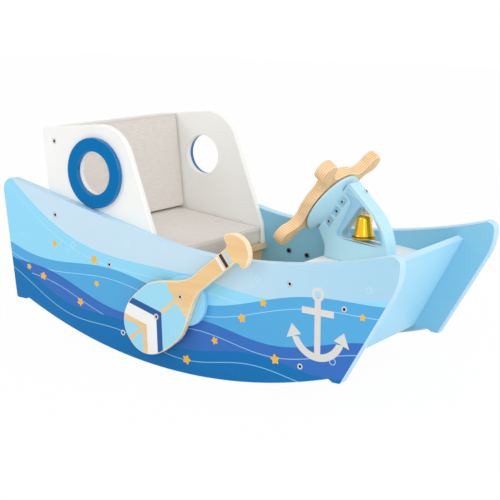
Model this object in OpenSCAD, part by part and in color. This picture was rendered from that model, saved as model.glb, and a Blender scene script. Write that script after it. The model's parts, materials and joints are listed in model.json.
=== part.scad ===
// Rocking boat for a toddler: two printed side panels on curved rockers, a winged and
// cushioned seat, a bow deck with a steering console, a bell and a swinging paddle on
// each side. Millimetres, +X to the bow, +Y to port, +Z up, floor at Z = 0.

/* [Hull] */
// Length of the side panels
hull_len = 900; // [860:5:960]
// Width over the side panels
hull_w = 370; // [350:5:410]
// Thickness of the side panels
panel_t = 18; // [15:1:20]
// Radius of the rocker edge
rocker_r = 1020; // [950:10:1200]
// Angle of one flat along the rocker edge
rocker_step = 1; // [0.8:0.1:1.5]
// How far the empty boat noses down, so that seat and deck lie level under a child
pitch = 5.5; // [3:0.5:7]
// How far the end feet stand below the rocker's run
foot_drop = 10; // [6:1:12]
// Width of the foot at the stern end of the rocker
stern_foot_w = 26.5; // [20:0.5:32]
// Width of the foot at the bow end of the rocker
bow_foot_w = 14.8; // [12:0.1:20]

/* [Hull outline] */
// Height of the lowest point of the top edge
sheer_z = 228; // [220:1:236]
// How far ahead of the middle the top edge is lowest
sheer_x = 100; // [80:1:120]
// Radius of the top edge towards the bow
sheer_bow_r = 1190; // [1100:10:1300]
// Radius of the top edge towards the stern
sheer_aft_r = 800; // [700:10:900]
// Climb of the straight top edge at the stern
sheer_climb = 11.6; // [10:0.1:13]
// Rake of the stem
stem_rake = 29.7; // [26:0.1:32]
// Top edge at the bow down to where the stem turns upright
stem_head = 48.6; // [42:0.1:54]
// Radius where the stem turns upright
knee_r = 100; // [80:1:105]
// Radius of the top corner at the bow
bow_corner_r = 15; // [8:1:16]
// Rake of the stern edge
stern_rake = 6.6; // [4:0.1:9]
// Radius of the top corner at the stern
stern_corner_r = 25; // [15:1:30]

/* [Bow] */
// Thickness of the bow panel, the deck and the floor
board_t = 12; // [10:1:14]
// Bow end to the foot of the bow panel
bow_panel_in = 163.6; // [155:1:175]
// Rocker's edge to the foot of the bow panel
bow_panel_up = 12; // [8:1:16]
// Rake of the bow panel
bow_rake = 22.3; // [20:0.1:25]
// Length of the bow panel along its rake
bow_panel_h = 206; // [195:1:215]
// Height of the deck's top
deck_z = 231; // [225:1:238]
// Deck ahead of its rear edge, up to the console's foot
deck_lip = 4; // [2:1:8]
// Height of the floor at its aft bolts
floor_aft_z = 50; // [46:1:56]
// Rocker's edge to the floor's forward bolts
floor_fwd_up = 27.7; // [24:0.1:32]
// How far behind the middle the floor's aft bolts are
floor_aft_x = 135; // [125:1:150]
// Foot of the bow panel to the floor's forward bolts
floor_fwd_in = 27; // [24:1:32]
// Floor behind its aft bolts
floor_tail = 24; // [18:1:30]

/* [Seat] */
// Height of the seat board's top
seat_z = 166.2; // [160:1:175]
// Thickness of the seat board
seat_t = 10; // [9:1:12]
// How far behind the middle the seat board's front edge is
seat_front = 68; // [60:1:76]
// Depth of the seat board
seat_depth = 284; // [275:1:295]
// How far the apron stands behind the seat board's edge
apron_in = 11; // [8:1:16]
// Thickness of the apron
apron_t = 15; // [12:1:18]
// Height of the apron
apron_h = 60; // [40:1:66]
// Seat board behind the front of the backrest board
seat_tail = 41; // [36:1:46]
// Lean of the backrest against the level seat
back_lean = 11; // [8:0.5:14]
// Length of the backrest board
back_h = 233; // [225:1:240]
// Thickness of the backrest board
back_t = 12; // [10:1:14]

/* [Wings] */
// Thickness of a wing
wing_t = 12; // [10:1:15]
// Height where the wing's front edge breaks
wing_kink_h = 39; // [34:1:46]
// How far the wing's front edge leans back above the break
wing_front_lean = 26.2; // [24:0.1:29]
// Radius of the wing's top front corner
wing_front_r = 75; // [60:1:80]
// Radius of the wing's top rear corner
wing_rear_r = 10; // [6:1:16]
// Wing behind the backrest board
wing_tail = 24; // [18:1:28]
// Outer diameter of a porthole ring
ring_od = 134; // [126:1:138]
// Diameter of a porthole
ring_id = 82; // [70:1:90]
// How far a ring stands out from the wing
ring_t = 8; // [6:1:10]
// Seat board's edge to the middle of the porthole
port_in = 175; // [170:1:185]
// Height of the porthole over the seat board
port_h = 157.5; // [157:0.5:164]

/* [Cushions] */
// Thickness of the seat cushion
seat_pad_t = 37; // [30:1:42]
// Thickness of the back cushion
back_pad_t = 39; // [30:1:44]
// Seat board's edge to the front of the seat cushion
seat_pad_in = 9; // [6:1:14]
// Rounding of the cushions' edges
pad_edge_r = 5; // [4:1:10]
// Rounding of the cushions' corners
pad_corner_r = 6; // [6:1:12]
// Rise of a cushion's middle
pad_crown = 3; // [1:0.5:5]
// How far a cushion's sides draw in between the seams
pad_draw = 1.2; // [0.5:0.1:2]
// Gap round a cushion
pad_gap = 0.4; // [0.3:0.1:0.8]

/* [Console] */
// Thickness of the console over both halves
console_t = 34; // [30:1:40]
// Bow end to the rear of the console's foot
console_in = 267.4; // [262:1:275]
// Length of the console's foot
console_foot = 131; // [126:1:134]
// Height of the middle of the flange over the deck
flange_h = 97.6; // [94:1:101]
// How far the middle of the flange is behind the foot
flange_aft = 4.5; // [2:0.5:7]
// Diameter of the flange
flange_d = 124; // [116:1:128]
// Straight rim of the flange
flange_rim = 4; // [3:0.5:6]
// Depth of the flange down to the console's sides
flange_deep = 20; // [16:1:22]
// Slope of the wheel and its flange against the deck
wheel_slope = 60; // [56:1:64]
// Height of the window's sill over the deck
sill_h = 40.5; // [38:0.5:44]
// Depth of the shallow recess round the window
recess_d = 3; // [2:0.5:4]
// Depth of the screw pockets in the console's sides
pocket_d = 2; // [1.5:0.5:4]
// Distance between the screw pockets
pocket_pitch = 23.3; // [22:0.1:25]
// Wall between two screw pockets
pocket_rib = 4.5; // [3:0.5:6]

/* [Wheel] */
// Thickness of the wheel
wheel_t = 20; // [18:1:24]
// Diameter of the wheel's disc
wheel_d = 132; // [124:1:138]
// Middle of the wheel to the middle of a handle's knob
knob_at = 104; // [100:1:108]
// Diameter of a handle's knob
knob_d = 38; // [32:1:42]
// Radius of the hollows beside the handles
hollow_r = 22; // [20:1:24]
// Number of handles
handles = 4; // [4:1:5]
// Gap between the wheel and its flange
wheel_gap = 2; // [1.5:0.1:3]
// Diameter of the wheel's axle bolt
axle_d = 8; // [6:1:9]
// Diameter of the bushing in the wheel
bush_d = 16; // [14:1:18]

/* [Bell] */
// Rear of the console's foot to the bell's pivot
bell_out = 63.2; // [61:0.1:66]
// Height of the bell's pivot over the deck
bell_up = 96; // [94:0.5:97]
// Height of the bell
bell_h = 41.5; // [38:0.5:43]
// Diameter of the bell's mouth
bell_d = 42.5; // [40:0.5:46]
// Wall of the bell
bell_wall = 2; // [1.5:0.1:2.5]
// Pivot to the bell's crown
bell_drop = 8; // [7:0.5:8]
// Thickness of the bell's wires
wire_d = 2.4; // [2:0.1:2.6]

/* [Paddles] */
// Thickness of a paddle
paddle_t = 12; // [10:1:15]
// How far ahead of the middle a paddle's pivot is
paddle_x = 25; // [15:1:35]
// Height of a paddle's pivot
paddle_z = 150; // [145:1:158]
// Slope of a paddle at rest
paddle_slope = 39; // [30:1:48]
// Pivot to the middle of the blade
blade_at = 84; // [80:1:88]
// Length of the blade
blade_l = 150; // [140:1:154]
// Width of the blade
blade_w = 119; // [110:1:124]
// Width of the shaft
shaft_w = 30; // [26:1:34]
// Pivot to the underside of the grip
grip_at = 150; // [144:1:156]
// Width of the grip
grip_w = 68; // [60:1:74]
// Diameter of the spacer disc behind a paddle
disc_d = 92; // [86:1:100]
// How far the spacer disc's middle is below the pivot
disc_drop = 10; // [0:1:14]
// Thickness of the spacer disc
disc_t = 10; // [8:1:12]
// Diameter of the heads in a paddle
pin_head_d = 10; // [9:0.5:11]
// Pivot to the screw in the blade
glide_at = 73; // [68:1:78]

/* [Fasteners] */
// Diameter of the hull bolts
bolt_d = 6; // [5:0.5:7]
// Diameter of the hull bolts' heads
bolt_head_d = 10.5; // [10:0.5:13]
// Height of the hull bolts' heads
bolt_head_h = 3; // [2:0.5:4]
// How far a hull bolt reaches into a board
bolt_reach = 36; // [30:1:44]
// Diameter of a barrel nut
nut_d = 10; // [9:0.5:11]
// Length of a barrel nut
nut_l = 7; // [6:0.5:7]
// Diameter of the wood screws
screw_d = 4; // [3:0.5:4.5]
// Diameter of the wood screws' heads
screw_head_d = 8; // [6.5:0.5:9]
// Diameter of a paddle's pivot bolt
pivot_d = 7; // [6:0.5:8]

/* [Fits] */
// Gap between boards that meet
fit_gap = 0.1; // [0.05:0.05:0.2]
// Radial clearance of a part that turns
run_gap = 0.06; // [0.03:0.01:0.09]
// Radial clearance of a bolt in its hole
hole_gap = 0.2; // [0.1:0.05:0.3]
// Gap between a part that turns and what it passes
side_gap = 0.3; // [0.2:0.05:0.4]

/* [Hidden] */
$fn = 64;
corner_step = 9;
inner_y = hull_w / 2 - panel_t;
wing_y = inner_y - wing_t;
bow_x = hull_len / 2;
stern_x = -hull_len / 2;

// Colours of the finishes
pale_blue = [0.78, 0.90, 0.97];
sky_blue = [0.65, 0.86, 0.96];
ring_blue = [0.02, 0.40, 0.70];
white_paint = [0.94, 0.94, 0.92];
beech = [0.95, 0.79, 0.56];
ply = [0.88, 0.76, 0.58];
linen = [0.84, 0.81, 0.78];
bell_yellow = [0.96, 0.76, 0.08];
dark_steel = [0.20, 0.21, 0.23];
bright_steel = [0.70, 0.71, 0.73];
nylon = [0.92, 0.92, 0.90];

// Outlines with rounded corners: each point is [x, z, radius]
function unit(v) = v / norm(v);
function turn(a) = a > 180 ? a - 360 : a < -180 ? a + 360 : a;
function corner(a, b, c, r) =
  let (
    u = unit(a - b),
    v = unit(c - b),
    half = acos(u * v) / 2,
    m = b + unit(u + v) * r / sin(half),
    p = b + u * r / tan(half) - m,
    q = b + v * r / tan(half) - m,
    start = atan2(p.y, p.x),
    sweep = turn(atan2(q.y, q.x) - start),
    n = max(2, ceil(abs(sweep) / corner_step))
  )
  [for (k = [0:n]) m + r * [cos(start + sweep * k / n), sin(start + sweep * k / n)]];
function flat(p) = [p.x, p.y];
function rounded(pts) =
  let (n = len(pts))
  [for (i = [0:n - 1])
    each pts[i].z == 0
      ? [flat(pts[i])]
      : corner(flat(pts[(i + n - 1) % n]), flat(pts[i]), flat(pts[(i + 1) % n]), pts[i].z)];

// A point of the level frame, in which seat and deck lie flat, placed in the resting boat
function rest(p) = [
  p.x * cos(pitch) + p.y * sin(pitch),
  -p.x * sin(pitch) + p.y * cos(pitch)
];
module level() {
  rotate([0, pitch, 0]) children();
}

// An outline in X and Z, made a board from y0 over thickness t
module slab(y0, t) {
  translate([0, y0 + t, 0]) rotate([90, 0, 0]) linear_extrude(height = t) children();
}
// A round bar along Y at a point in X and Z
module ybar(p, d, y0, y1) {
  translate([p.x, y0, p.y]) rotate([-90, 0, 0]) cylinder(d = d, h = y1 - y0);
}
// The port side's twin of a starboard piece
module port() {
  mirror([0, 1, 0]) children();
}

// Side panels: the rocker arc has a flat in its middle, on the floor, and a foot at each end
rocker_z = rocker_r * cos(rocker_step / 2);
foot_r = 6;
foot_toe = 8;
stern_ref_z = 295;
function sheer_bow(x) = sheer_z + sheer_bow_r - sqrt(pow(sheer_bow_r, 2) - pow(x - sheer_x, 2));
knee_z = sheer_bow(bow_x) - stem_head;
function rocker_at(x) = rocker_z - sqrt(rocker_r * rocker_r - x * x);
function foot_z(x) = rocker_at(x + 2 * foot_toe) - foot_drop;
function stem_x(z) = bow_x - (knee_z - z) * tan(stem_rake);
function stern_at(z) = stern_x + (stern_ref_z - z) * tan(stern_rake);
// The arc ends where a foot of its width just reaches the stem or the stern edge
function fwd_end(x, n) =
  n == 0 ? x : fwd_end(stem_x(foot_z(x)) - bow_foot_w - foot_toe, n - 1);
function aft_end(x, n) =
  n == 0 ? x : aft_end(-stern_at(foot_z(x)) - stern_foot_w - foot_toe, n - 1);
rock_fwd = fwd_end(bow_x, 12);
rock_aft = aft_end(-stern_x, 12);
flats_aft = floor(asin(rock_aft / rocker_r) / rocker_step - 0.7);
flats_fwd = floor(asin(rock_fwd / rocker_r) / rocker_step - 0.7);
function rocker_pts() = [
  for (k = [-flats_aft - 1:flats_fwd])
    let (a = (k + 0.5) * rocker_step)
    [rocker_r * sin(a), rocker_z - rocker_r * cos(a), 0]
];

// Aft of the low point the top edge curves up, then runs straight to the stern
straight_x = sheer_x - sheer_aft_r * sin(sheer_climb);
straight_z = sheer_z + sheer_aft_r * (1 - cos(sheer_climb));
function sheer_line(x) = straight_z + (straight_x - x) * tan(sheer_climb);
function sheer_at(x) =
  x > sheer_x ? sheer_bow(x)
  : x > straight_x ? sheer_z + sheer_aft_r - sqrt(pow(sheer_aft_r, 2) - pow(x - sheer_x, 2))
  : sheer_line(x);
// The straight top edge meets the stern edge here
stern_top_z = (sheer_line(stern_x) - stern_ref_z * tan(stern_rake) * tan(sheer_climb))
  / (1 - tan(stern_rake) * tan(sheer_climb));
sheer_step = 20;
sheer_end = bow_corner_r * 2;

function side_outline() =
  let (
    bow_tip_z = foot_z(rock_fwd),
    stern_tip_z = foot_z(rock_aft),
    sheer_n = ceil((bow_x - sheer_end - straight_x) / sheer_step)
  )
  rounded(concat(
    [[-rock_aft, rocker_at(rock_aft), 0]],
    rocker_pts(),
    [
      [rock_fwd, rocker_at(rock_fwd), 0],
      [rock_fwd + foot_toe, bow_tip_z, foot_r / 2],
      [stem_x(bow_tip_z), bow_tip_z, foot_r],
      [bow_x, knee_z, knee_r],
      [bow_x, sheer_at(bow_x), bow_corner_r]
    ],
    [for (k = [0:sheer_n])
      let (x = bow_x - sheer_end - (bow_x - sheer_end - straight_x) * k / sheer_n)
      [x, sheer_at(x), 0]],
    [
      [stern_at(stern_top_z), stern_top_z, stern_corner_r],
      [stern_at(stern_tip_z), stern_tip_z, foot_r],
      [-rock_aft - foot_toe, stern_tip_z, foot_r / 2]
    ]
  ));

// Places of the boards in the level frame
seat_edge = -seat_front;
back_foot = seat_edge - seat_depth + seat_tail;
bow_foot_x = bow_x - bow_panel_in;
// The foot of the bow panel follows the rocker's edge, which curves across the level frame
function rocker_level(z) =
  (rocker_at(rest([bow_foot_x, z]).x) + bow_foot_x * sin(pitch)) / cos(pitch);
function bow_panel_foot(z, n) =
  n == 0 ? z : bow_panel_foot(rocker_level(z) + bow_panel_up / cos(pitch), n - 1);
bow_panel_z = bow_panel_foot(0, 8);
deck_rear = bow_x - console_in - deck_lip;
function bow_face(z) = bow_foot_x + (z - bow_panel_z) * tan(bow_rake);
function bow_back(z) = bow_face(z) - board_t / cos(bow_rake);
// A point of the backrest: out from its board's front, and up along its lean
function on_back(out, up) = [
  back_foot + out * cos(back_lean) - up * sin(back_lean),
  seat_z + out * sin(back_lean) + up * cos(back_lean)
];
module back_frame() {
  level() translate([back_foot, 0, seat_z]) rotate([0, -back_lean, 0]) children();
}
// The floor runs between its two pairs of bolts
floor_aft = [-floor_aft_x, floor_aft_z];
floor_fwd_x = rest([bow_foot_x, bow_panel_z]).x - floor_fwd_in;
floor_fwd = [floor_fwd_x, rocker_at(floor_fwd_x) + floor_fwd_up];
floor_tilt = atan2(floor_fwd.y - floor_aft.y, floor_fwd.x - floor_aft.x);
floor_run = norm(floor_fwd - floor_aft);
floor_nose = 13;

// Hull bolts: place in X and Z, direction of the barrel nut, and what the bolt crosses first
back_bolt_up = 63;
seat_bolt_in = 114;
deck_bolt_in = 45;
bow_bolt_up = 134;
hull_bolts = [
  [rest(on_back(-back_t / 2, back_bolt_up)), pitch - back_lean - 90, wing_t],
  [rest([seat_edge - seat_bolt_in, seat_z - seat_t / 2]), pitch, 0],
  [floor_aft, -floor_tilt, 0],
  [rest([deck_rear + deck_bolt_in, deck_z - board_t / 2]), pitch, 0],
  [rest([
    bow_foot_x + bow_bolt_up * sin(bow_rake) - board_t / 2 * cos(bow_rake),
    bow_panel_z + bow_bolt_up * cos(bow_rake) + board_t / 2 * sin(bow_rake)
  ]), pitch + bow_rake + 90, 0],
  [floor_fwd, -floor_tilt, 0]
];
bolt_hole_d = bolt_d + 2 * hole_gap;
nut_hole_d = nut_d + 2 * hole_gap;
nut_back = 10;
function bolt_end(b) = b[2] + bolt_reach;
function nut_y(b) = inner_y - b[2] - bolt_reach + nut_back;

// Paddle pivots and the two bolts that hold each spacer disc from inside
pivot = [paddle_x, paddle_z];
disc_at = pivot - [0, disc_drop];
disc_bolt_gap = 44;
disc_bolt_up = 12;
disc_bolts = [for (s = [-1, 1]) pivot + rest([s * disc_bolt_gap / 2, disc_bolt_up])];

module side_panel() {
  head_d = bolt_head_d + 2 * hole_gap;
  difference() {
    slab(-hull_w / 2, panel_t) polygon(side_outline());
    for (b = hull_bolts) {
      ybar(b[0], bolt_hole_d, -hull_w / 2 - 1, -inner_y + 1);
      ybar(b[0], head_d, -hull_w / 2 - 1, -hull_w / 2 + bolt_head_h + hole_gap);
    }
    for (p = disc_bolts) ybar(p, bolt_hole_d, -hull_w / 2 - 1, -inner_y + 1);
    ybar(pivot, pivot_d + 2 * run_gap, -hull_w / 2 - 1, -inner_y - panel_t / 3);
  }
}

// Holes that the bolts and barrel nuts need in a board; the nut's hole opens on its hidden face
module board_holes(bolts) {
  for (b = bolts, s = [-1, 1]) {
    y = s * inner_y;
    ybar(b[0], bolt_hole_d, min(y, y - s * (bolt_end(b) + 2)), max(y, y - s * (bolt_end(b) + 2)));
    translate([b[0].x, s * nut_y(b), b[0].y]) rotate([0, b[1], 0])
      translate([0, 0, -2 * board_t])
      cylinder(d = nut_hole_d, h = 2 * board_t + nut_l / 2 + hole_gap);
  }
}

module bow_panel() {
  w = 2 * (inner_y - fit_gap);
  color(sky_blue) difference() {
    level() translate([bow_foot_x, 0, bow_panel_z]) rotate([0, bow_rake, 0])
      translate([-board_t, -w / 2, 0]) cube([board_t, w, bow_panel_h]);
    board_holes([hull_bolts[4]]);
  }
}

// Screws that hold the console down on the deck
foot_screws = [for (x = [0.22, 0.78], s = [-1, 1])
  [bow_x - console_in + console_foot * x, s * console_t / 4]];
foot_screw_l = 34;

module foredeck() {
  w = 2 * (inner_y - fit_gap);
  low = deck_z - board_t;
  color(white_paint) difference() {
    level() slab(-w / 2, w) polygon([
      [deck_rear, low],
      [bow_back(low) - fit_gap, low],
      [bow_back(deck_z) - fit_gap, deck_z],
      [deck_rear, deck_z]
    ]);
    board_holes([hull_bolts[3]]);
    level() for (p = foot_screws) translate([p.x, p.y, low - 1])
      cylinder(d = screw_d + 2 * hole_gap, h = board_t + 2);
    level() for (p = foot_screws) translate([p.x, p.y, low - 1])
      cylinder(d = screw_head_d + 2 * hole_gap, h = 1 + board_t / 3);
  }
}

module floor_board() {
  w = 2 * (inner_y - fit_gap);
  color(ply) difference() {
    translate([floor_aft.x, 0, floor_aft.y]) rotate([0, -floor_tilt, 0])
      translate([-floor_tail, -w / 2, -board_t / 2])
      cube([floor_tail + floor_run + floor_nose, w, board_t]);
    board_holes([hull_bolts[2], hull_bolts[5]]);
  }
}

apron_screws = [for (s = [-1, 0, 1]) s * hull_w * 0.3];
apron_screw_l = 36;

module seat_board() {
  w = 2 * (inner_y - fit_gap);
  color(ply) difference() {
    level() translate([seat_edge - seat_depth, -w / 2, seat_z - seat_t])
      cube([seat_depth, w, seat_t]);
    board_holes([hull_bolts[1]]);
    level() for (y = apron_screws) translate([seat_edge - apron_in - apron_t / 2, y, seat_z]) {
      translate([0, 0, -seat_t - 1]) cylinder(d = screw_d + 2 * hole_gap, h = seat_t + 2);
      translate([0, 0, -seat_t / 2]) cylinder(d = screw_head_d + 2 * hole_gap, h = seat_t);
    }
  }
}

module seat_apron() {
  w = 2 * (inner_y - fit_gap);
  top = seat_z - seat_t - fit_gap;
  color(beech) difference() {
    level() translate([seat_edge - apron_in - apron_t, -w / 2, top - apron_h])
      cube([apron_t, w, apron_h]);
    level() for (y = apron_screws)
      translate([seat_edge - apron_in - apron_t / 2, y, top - apron_screw_l])
      cylinder(d = screw_d + 2 * hole_gap, h = apron_screw_l + 1);
  }
}

wing_screw_up = 204;
wing_screw = rest(on_back(-back_t / 2, wing_screw_up));
wing_screw_l = 40;

module backrest_board() {
  w = 2 * (wing_y - fit_gap);
  low = back_t * tan(back_lean) + fit_gap;
  color(white_paint) difference() {
    back_frame() translate([-back_t, -w / 2, low]) cube([back_t, w, back_h - low]);
    board_holes([hull_bolts[0]]);
    for (s = [-1, 1]) ybar(
      wing_screw, screw_d + 2 * hole_gap,
      s > 0 ? wing_y + wing_t - wing_screw_l - 1 : -inner_y,
      s > 0 ? inner_y : -wing_y - wing_t + wing_screw_l + 1
    );
  }
}

// Wings: the top edge is square to the backrest, the front edge leans back above a break
port_at = [seat_edge - port_in, seat_z + port_h];
function wing_outline() =
  let (
    foot = [seat_edge - 4, seat_z + fit_gap],
    kink = [seat_edge - 10, seat_z + wing_kink_h],
    top_rear = on_back(-back_t - wing_tail, back_h - 1),
    up = tan(back_lean),
    lean = tan(wing_front_lean),
    // Where the leaning front edge meets the sloping top edge
    top_z = (top_rear.y + up * (kink.x + lean * kink.y - top_rear.x)) / (1 + up * lean),
    top_front = [kink.x - lean * (top_z - kink.y), top_z],
    rear_foot = on_back(-back_t - wing_tail, 0)
  )
  rounded([
    [foot.x, foot.y, 0],
    [kink.x, kink.y, 6],
    [top_front.x, top_front.y, wing_front_r],
    [top_rear.x, top_rear.y, wing_rear_r],
    [rear_foot.x + (rear_foot.y - foot.y) * tan(back_lean), foot.y, 0]
  ]);

module wing() {
  difference() {
    level() slab(-inner_y + fit_gap, wing_t - fit_gap) polygon(wing_outline());
    level() ybar(port_at, ring_id, -inner_y - 1, -wing_y + 1);
    ybar(hull_bolts[0][0], bolt_hole_d, -inner_y - 1, -wing_y + 1);
    ybar(wing_screw, screw_d + 2 * hole_gap, -inner_y - 1, -wing_y + 1);
    ybar(wing_screw, bolt_head_d + 2 * hole_gap, -inner_y - 1, -inner_y + wing_t / 3);
  }
}

ring_edge = 3;
module porthole_ring() {
  r0 = ring_id / 2;
  r1 = ring_od / 2;
  level() translate([port_at.x, -inner_y, port_at.y]) rotate([90, 0, 0]) rotate_extrude()
    polygon([
      [r0, 0],
      [r1, 0],
      [r1, ring_t - ring_edge],
      [r1 - ring_edge, ring_t],
      [r0 + ring_edge, ring_t],
      [r0, ring_t - ring_edge]
    ]);
}

// Cushions: rings of a rounded rectangle go up the sides, which draw in, and over the crowned face
pad_side_rings = 6;
pad_face_rings = 4;
pad_corner_pts = 6;
function pad_ring(a, b, r, z) = [
  for (c = [0:3], k = [0:pad_corner_pts])
    let (t = 90 * c + 90 * k / pad_corner_pts, sx = c == 0 || c == 3 ? 1 : -1, sy = c < 2 ? 1 : -1)
    [sx * (a - r) + r * cos(t), sy * (b - r) + r * sin(t), z]
];
// Inset and height of one ring, from the back seam round both edges
function pad_profile(t) = concat(
  [for (k = [0:2]) let (q = 45 * k) [pad_edge_r * (1 - sin(q)), pad_edge_r * (1 - cos(q))]],
  [for (k = [1:pad_side_rings - 1]) let (f = k / pad_side_rings)
    [pad_draw * sin(180 * f), pad_edge_r + (t - 2 * pad_edge_r) * f]],
  [for (k = [0:2]) let (q = 90 - 45 * k) [pad_edge_r * (1 - sin(q)), t - pad_edge_r * (1 - cos(q))]]
);
module cushion(w, d, t, slant = 0) {
  body = t - pad_crown;
  lean = tan(slant) * 2 / d;
  sides = pad_profile(body);
  face = [for (k = [1:pad_face_rings]) k / (pad_face_rings + 1)];
  n = 4 * (pad_corner_pts + 1);
  rings = concat(
    [for (s = sides) pad_ring(d / 2 - s.x, w / 2 - s.x, max(1, pad_corner_r - s.x), s.y)],
    [for (f = face) pad_ring(
      (d / 2 - pad_edge_r) * (1 - f), (w / 2 - pad_edge_r) * (1 - f),
      max(1, (pad_corner_r - pad_edge_r) * (1 - f)), body + pad_crown * sin(90 * f))]
  );
  last = len(rings) - 1;
  upright = concat([for (r = rings) each r], [[0, 0, 0], [0, 0, t]]);
  // A slant leads one end out or in over the thickness
  pts = [for (p = upright) [p.x + lean * max(0, p.x) * p.z, p.y, p.z]];
  foot = len(pts) - 2;
  tip = len(pts) - 1;
  faces = concat(
    [for (i = [0:last - 1], k = [0:n - 1])
      let (a = i * n + k, b = i * n + (k + 1) % n)
      each [[a, a + n, b], [b, a + n, b + n]]],
    [for (k = [0:n - 1]) [foot, k, (k + 1) % n]],
    [for (k = [0:n - 1]) [tip, last * n + (k + 1) % n, last * n + k]]
  );
  polyhedron(points = pts, faces = faces);
}

pad_w = 2 * (wing_y - pad_gap);
module seat_cushion() {
  front = seat_edge - seat_pad_in;
  rear = back_foot + pad_gap;
  color(linen) level() translate([(front + rear) / 2, 0, seat_z + pad_gap])
    cushion(pad_w, front - rear, seat_pad_t);
}
// The back cushion's lower end is level with the seat cushion under it
back_pad_low = (seat_pad_t + 3 * pad_gap) / cos(back_lean);
back_pad_top = back_h - 1;
module back_cushion() {
  color(linen) back_frame() translate([pad_gap, 0, (back_pad_low + back_pad_top) / 2])
    rotate([0, 90, 0]) cushion(pad_w, back_pad_top - back_pad_low, back_pad_t, back_lean);
}

// Console: its points are measured from the rear of its foot on the deck
console_org = [bow_x - console_in, deck_z + fit_gap];
flange_at = [-flange_aft, flange_h];
// A point of the flange: along its slope, and deep below its face
function on_flange(along, deep) = flange_at + [
  along * cos(wheel_slope) + deep * sin(wheel_slope),
  along * sin(wheel_slope) - deep * cos(wheel_slope)
];
module console_frame() {
  level() translate([console_org.x, 0, console_org.y]) children();
}
module flange_frame() {
  console_frame() translate([flange_at.x, 0, flange_at.y]) rotate([0, -wheel_slope, 0]) children();
}
console_back_deep = 12;
console_brow = [121.5, 74.1];
console_low = on_flange(-48, console_back_deep);
console_high = on_flange(flange_d / 2 - 2, console_back_deep);
function console_outline() =
  rounded([
    [0, 0, 0],
    [console_foot, 0, 0],
    [console_brow.x, console_brow.y, 115],
    [console_high.x, console_high.y, 4],
    [console_low.x, console_low.y, 3],
    [0, 22, 24]
  ]);
window_top = [67, 116];
window_front = [104, 72];
function window_outline() = rounded([
  [24, sill_h, 8],
  [112, sill_h, 9],
  [window_front.x, window_front.y, 70],
  [window_top.x, window_top.y, 14]
]);
function recess_outline() = rounded([
  [17, sill_h + 3, 6],
  [118, sill_h + 3, 6],
  [112, 76, 55],
  [37, 135, 4],
  [30, 124, 8],
  [43, 108, 10]
]);
screw_deep = 22;
pocket_w = pocket_pitch - pocket_rib;
pocket_h = 13;
// The axle's nut is held between the halves, above the middle screw, whose head is sunk deeper
axle_nut_w = 13;
axle_nut_h = 6.5;
axle_nut_deep = 8;
axle_reach = 18;
sunk = 4;
sunk_head_d = 6;
cone_in = 4;
module axle_nut_box(gap) {
  w = axle_nut_w + 2 * gap;
  translate([-w / 2, -w / 2, -axle_nut_deep - axle_nut_h - gap]) cube([w, w, axle_nut_h + 2 * gap]);
}

module console_half() {
  half = console_t / 2;
  reach = 4 * flange_d;
  difference() {
    union() {
      console_frame() slab(-half, half) polygon(console_outline());
      intersection() {
        console_frame() translate([-reach / 2, -hull_w, -reach / 2]) cube([reach, hull_w, reach]);
        flange_frame() rotate_extrude() polygon([
          [0, 0],
          [flange_d / 2, 0],
          [flange_d / 2, -flange_rim],
          [half - cone_in, -flange_deep],
          [0, -flange_deep]
        ]);
      }
    }
    console_frame() slab(-half - 1, half + 2) polygon(window_outline());
    console_frame() slab(-half - 1, recess_d + 1) polygon(recess_outline());
    // Three screw pockets in a row
    for (k = [-1:1]) console_frame() {
      p = on_flange(k * pocket_pitch, screw_deep);
      translate([p.x, -half - 1, p.y]) rotate([0, -wheel_slope, 0])
        translate([-pocket_w / 2, 0, -pocket_h / 2]) cube([pocket_w, pocket_d + 1, pocket_h]);
      ybar(p, screw_d + 2 * hole_gap, -half, 1);
      if (k == 0) ybar(p, sunk_head_d + 2 * hole_gap, -half, -half + pocket_d + sunk);
    }
    flange_frame() axle_nut_box(hole_gap);
    flange_frame() translate([0, 0, -axle_reach])
      cylinder(d = axle_d + 2 * hole_gap, h = axle_reach + 1);
    for (p = foot_screws) level() translate([p.x, p.y, deck_z])
      cylinder(d = screw_d + 2 * hole_gap, h = foot_screw_l);
    staple_legs(hole_gap);
  }
}

// Screws through the console's halves from starboard, and one in its front band
front_dir = unit(console_brow - console_high);
front_screw = console_high + 26 * front_dir;
front_screw_l = 20;
module front_screw_frame() {
  console_frame() translate([front_screw.x, console_t / 3, front_screw.y])
    rotate([0, 90 - atan2(front_dir.x, -front_dir.y), 0]) children();
}
module console_screws() {
  half = console_t / 2;
  seat = -half + pocket_d;
  color(bright_steel) for (k = [-1:1]) console_frame() {
    p = on_flange(k * pocket_pitch, screw_deep);
    in = k == 0 ? sunk : 0;
    ybar(p, screw_d, seat + in - 1, half - pocket_d - 1);
    ybar(p, k == 0 ? sunk_head_d : screw_head_d, seat + in - 2, seat + in);
  }
  color(bright_steel) front_screw_frame() {
    translate([0, 0, 2 - front_screw_l]) cylinder(d = screw_d, h = front_screw_l);
    translate([0, 0, fit_gap]) cylinder(d = screw_head_d, h = 2);
  }
}
module console_foot_screws() {
  low = deck_z - board_t;
  color(dark_steel) level() for (p = foot_screws) translate([p.x, p.y, low]) {
    cylinder(d = screw_head_d, h = board_t / 3);
    cylinder(d = screw_d, h = board_t + foot_screw_l - 1);
  }
}

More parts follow.
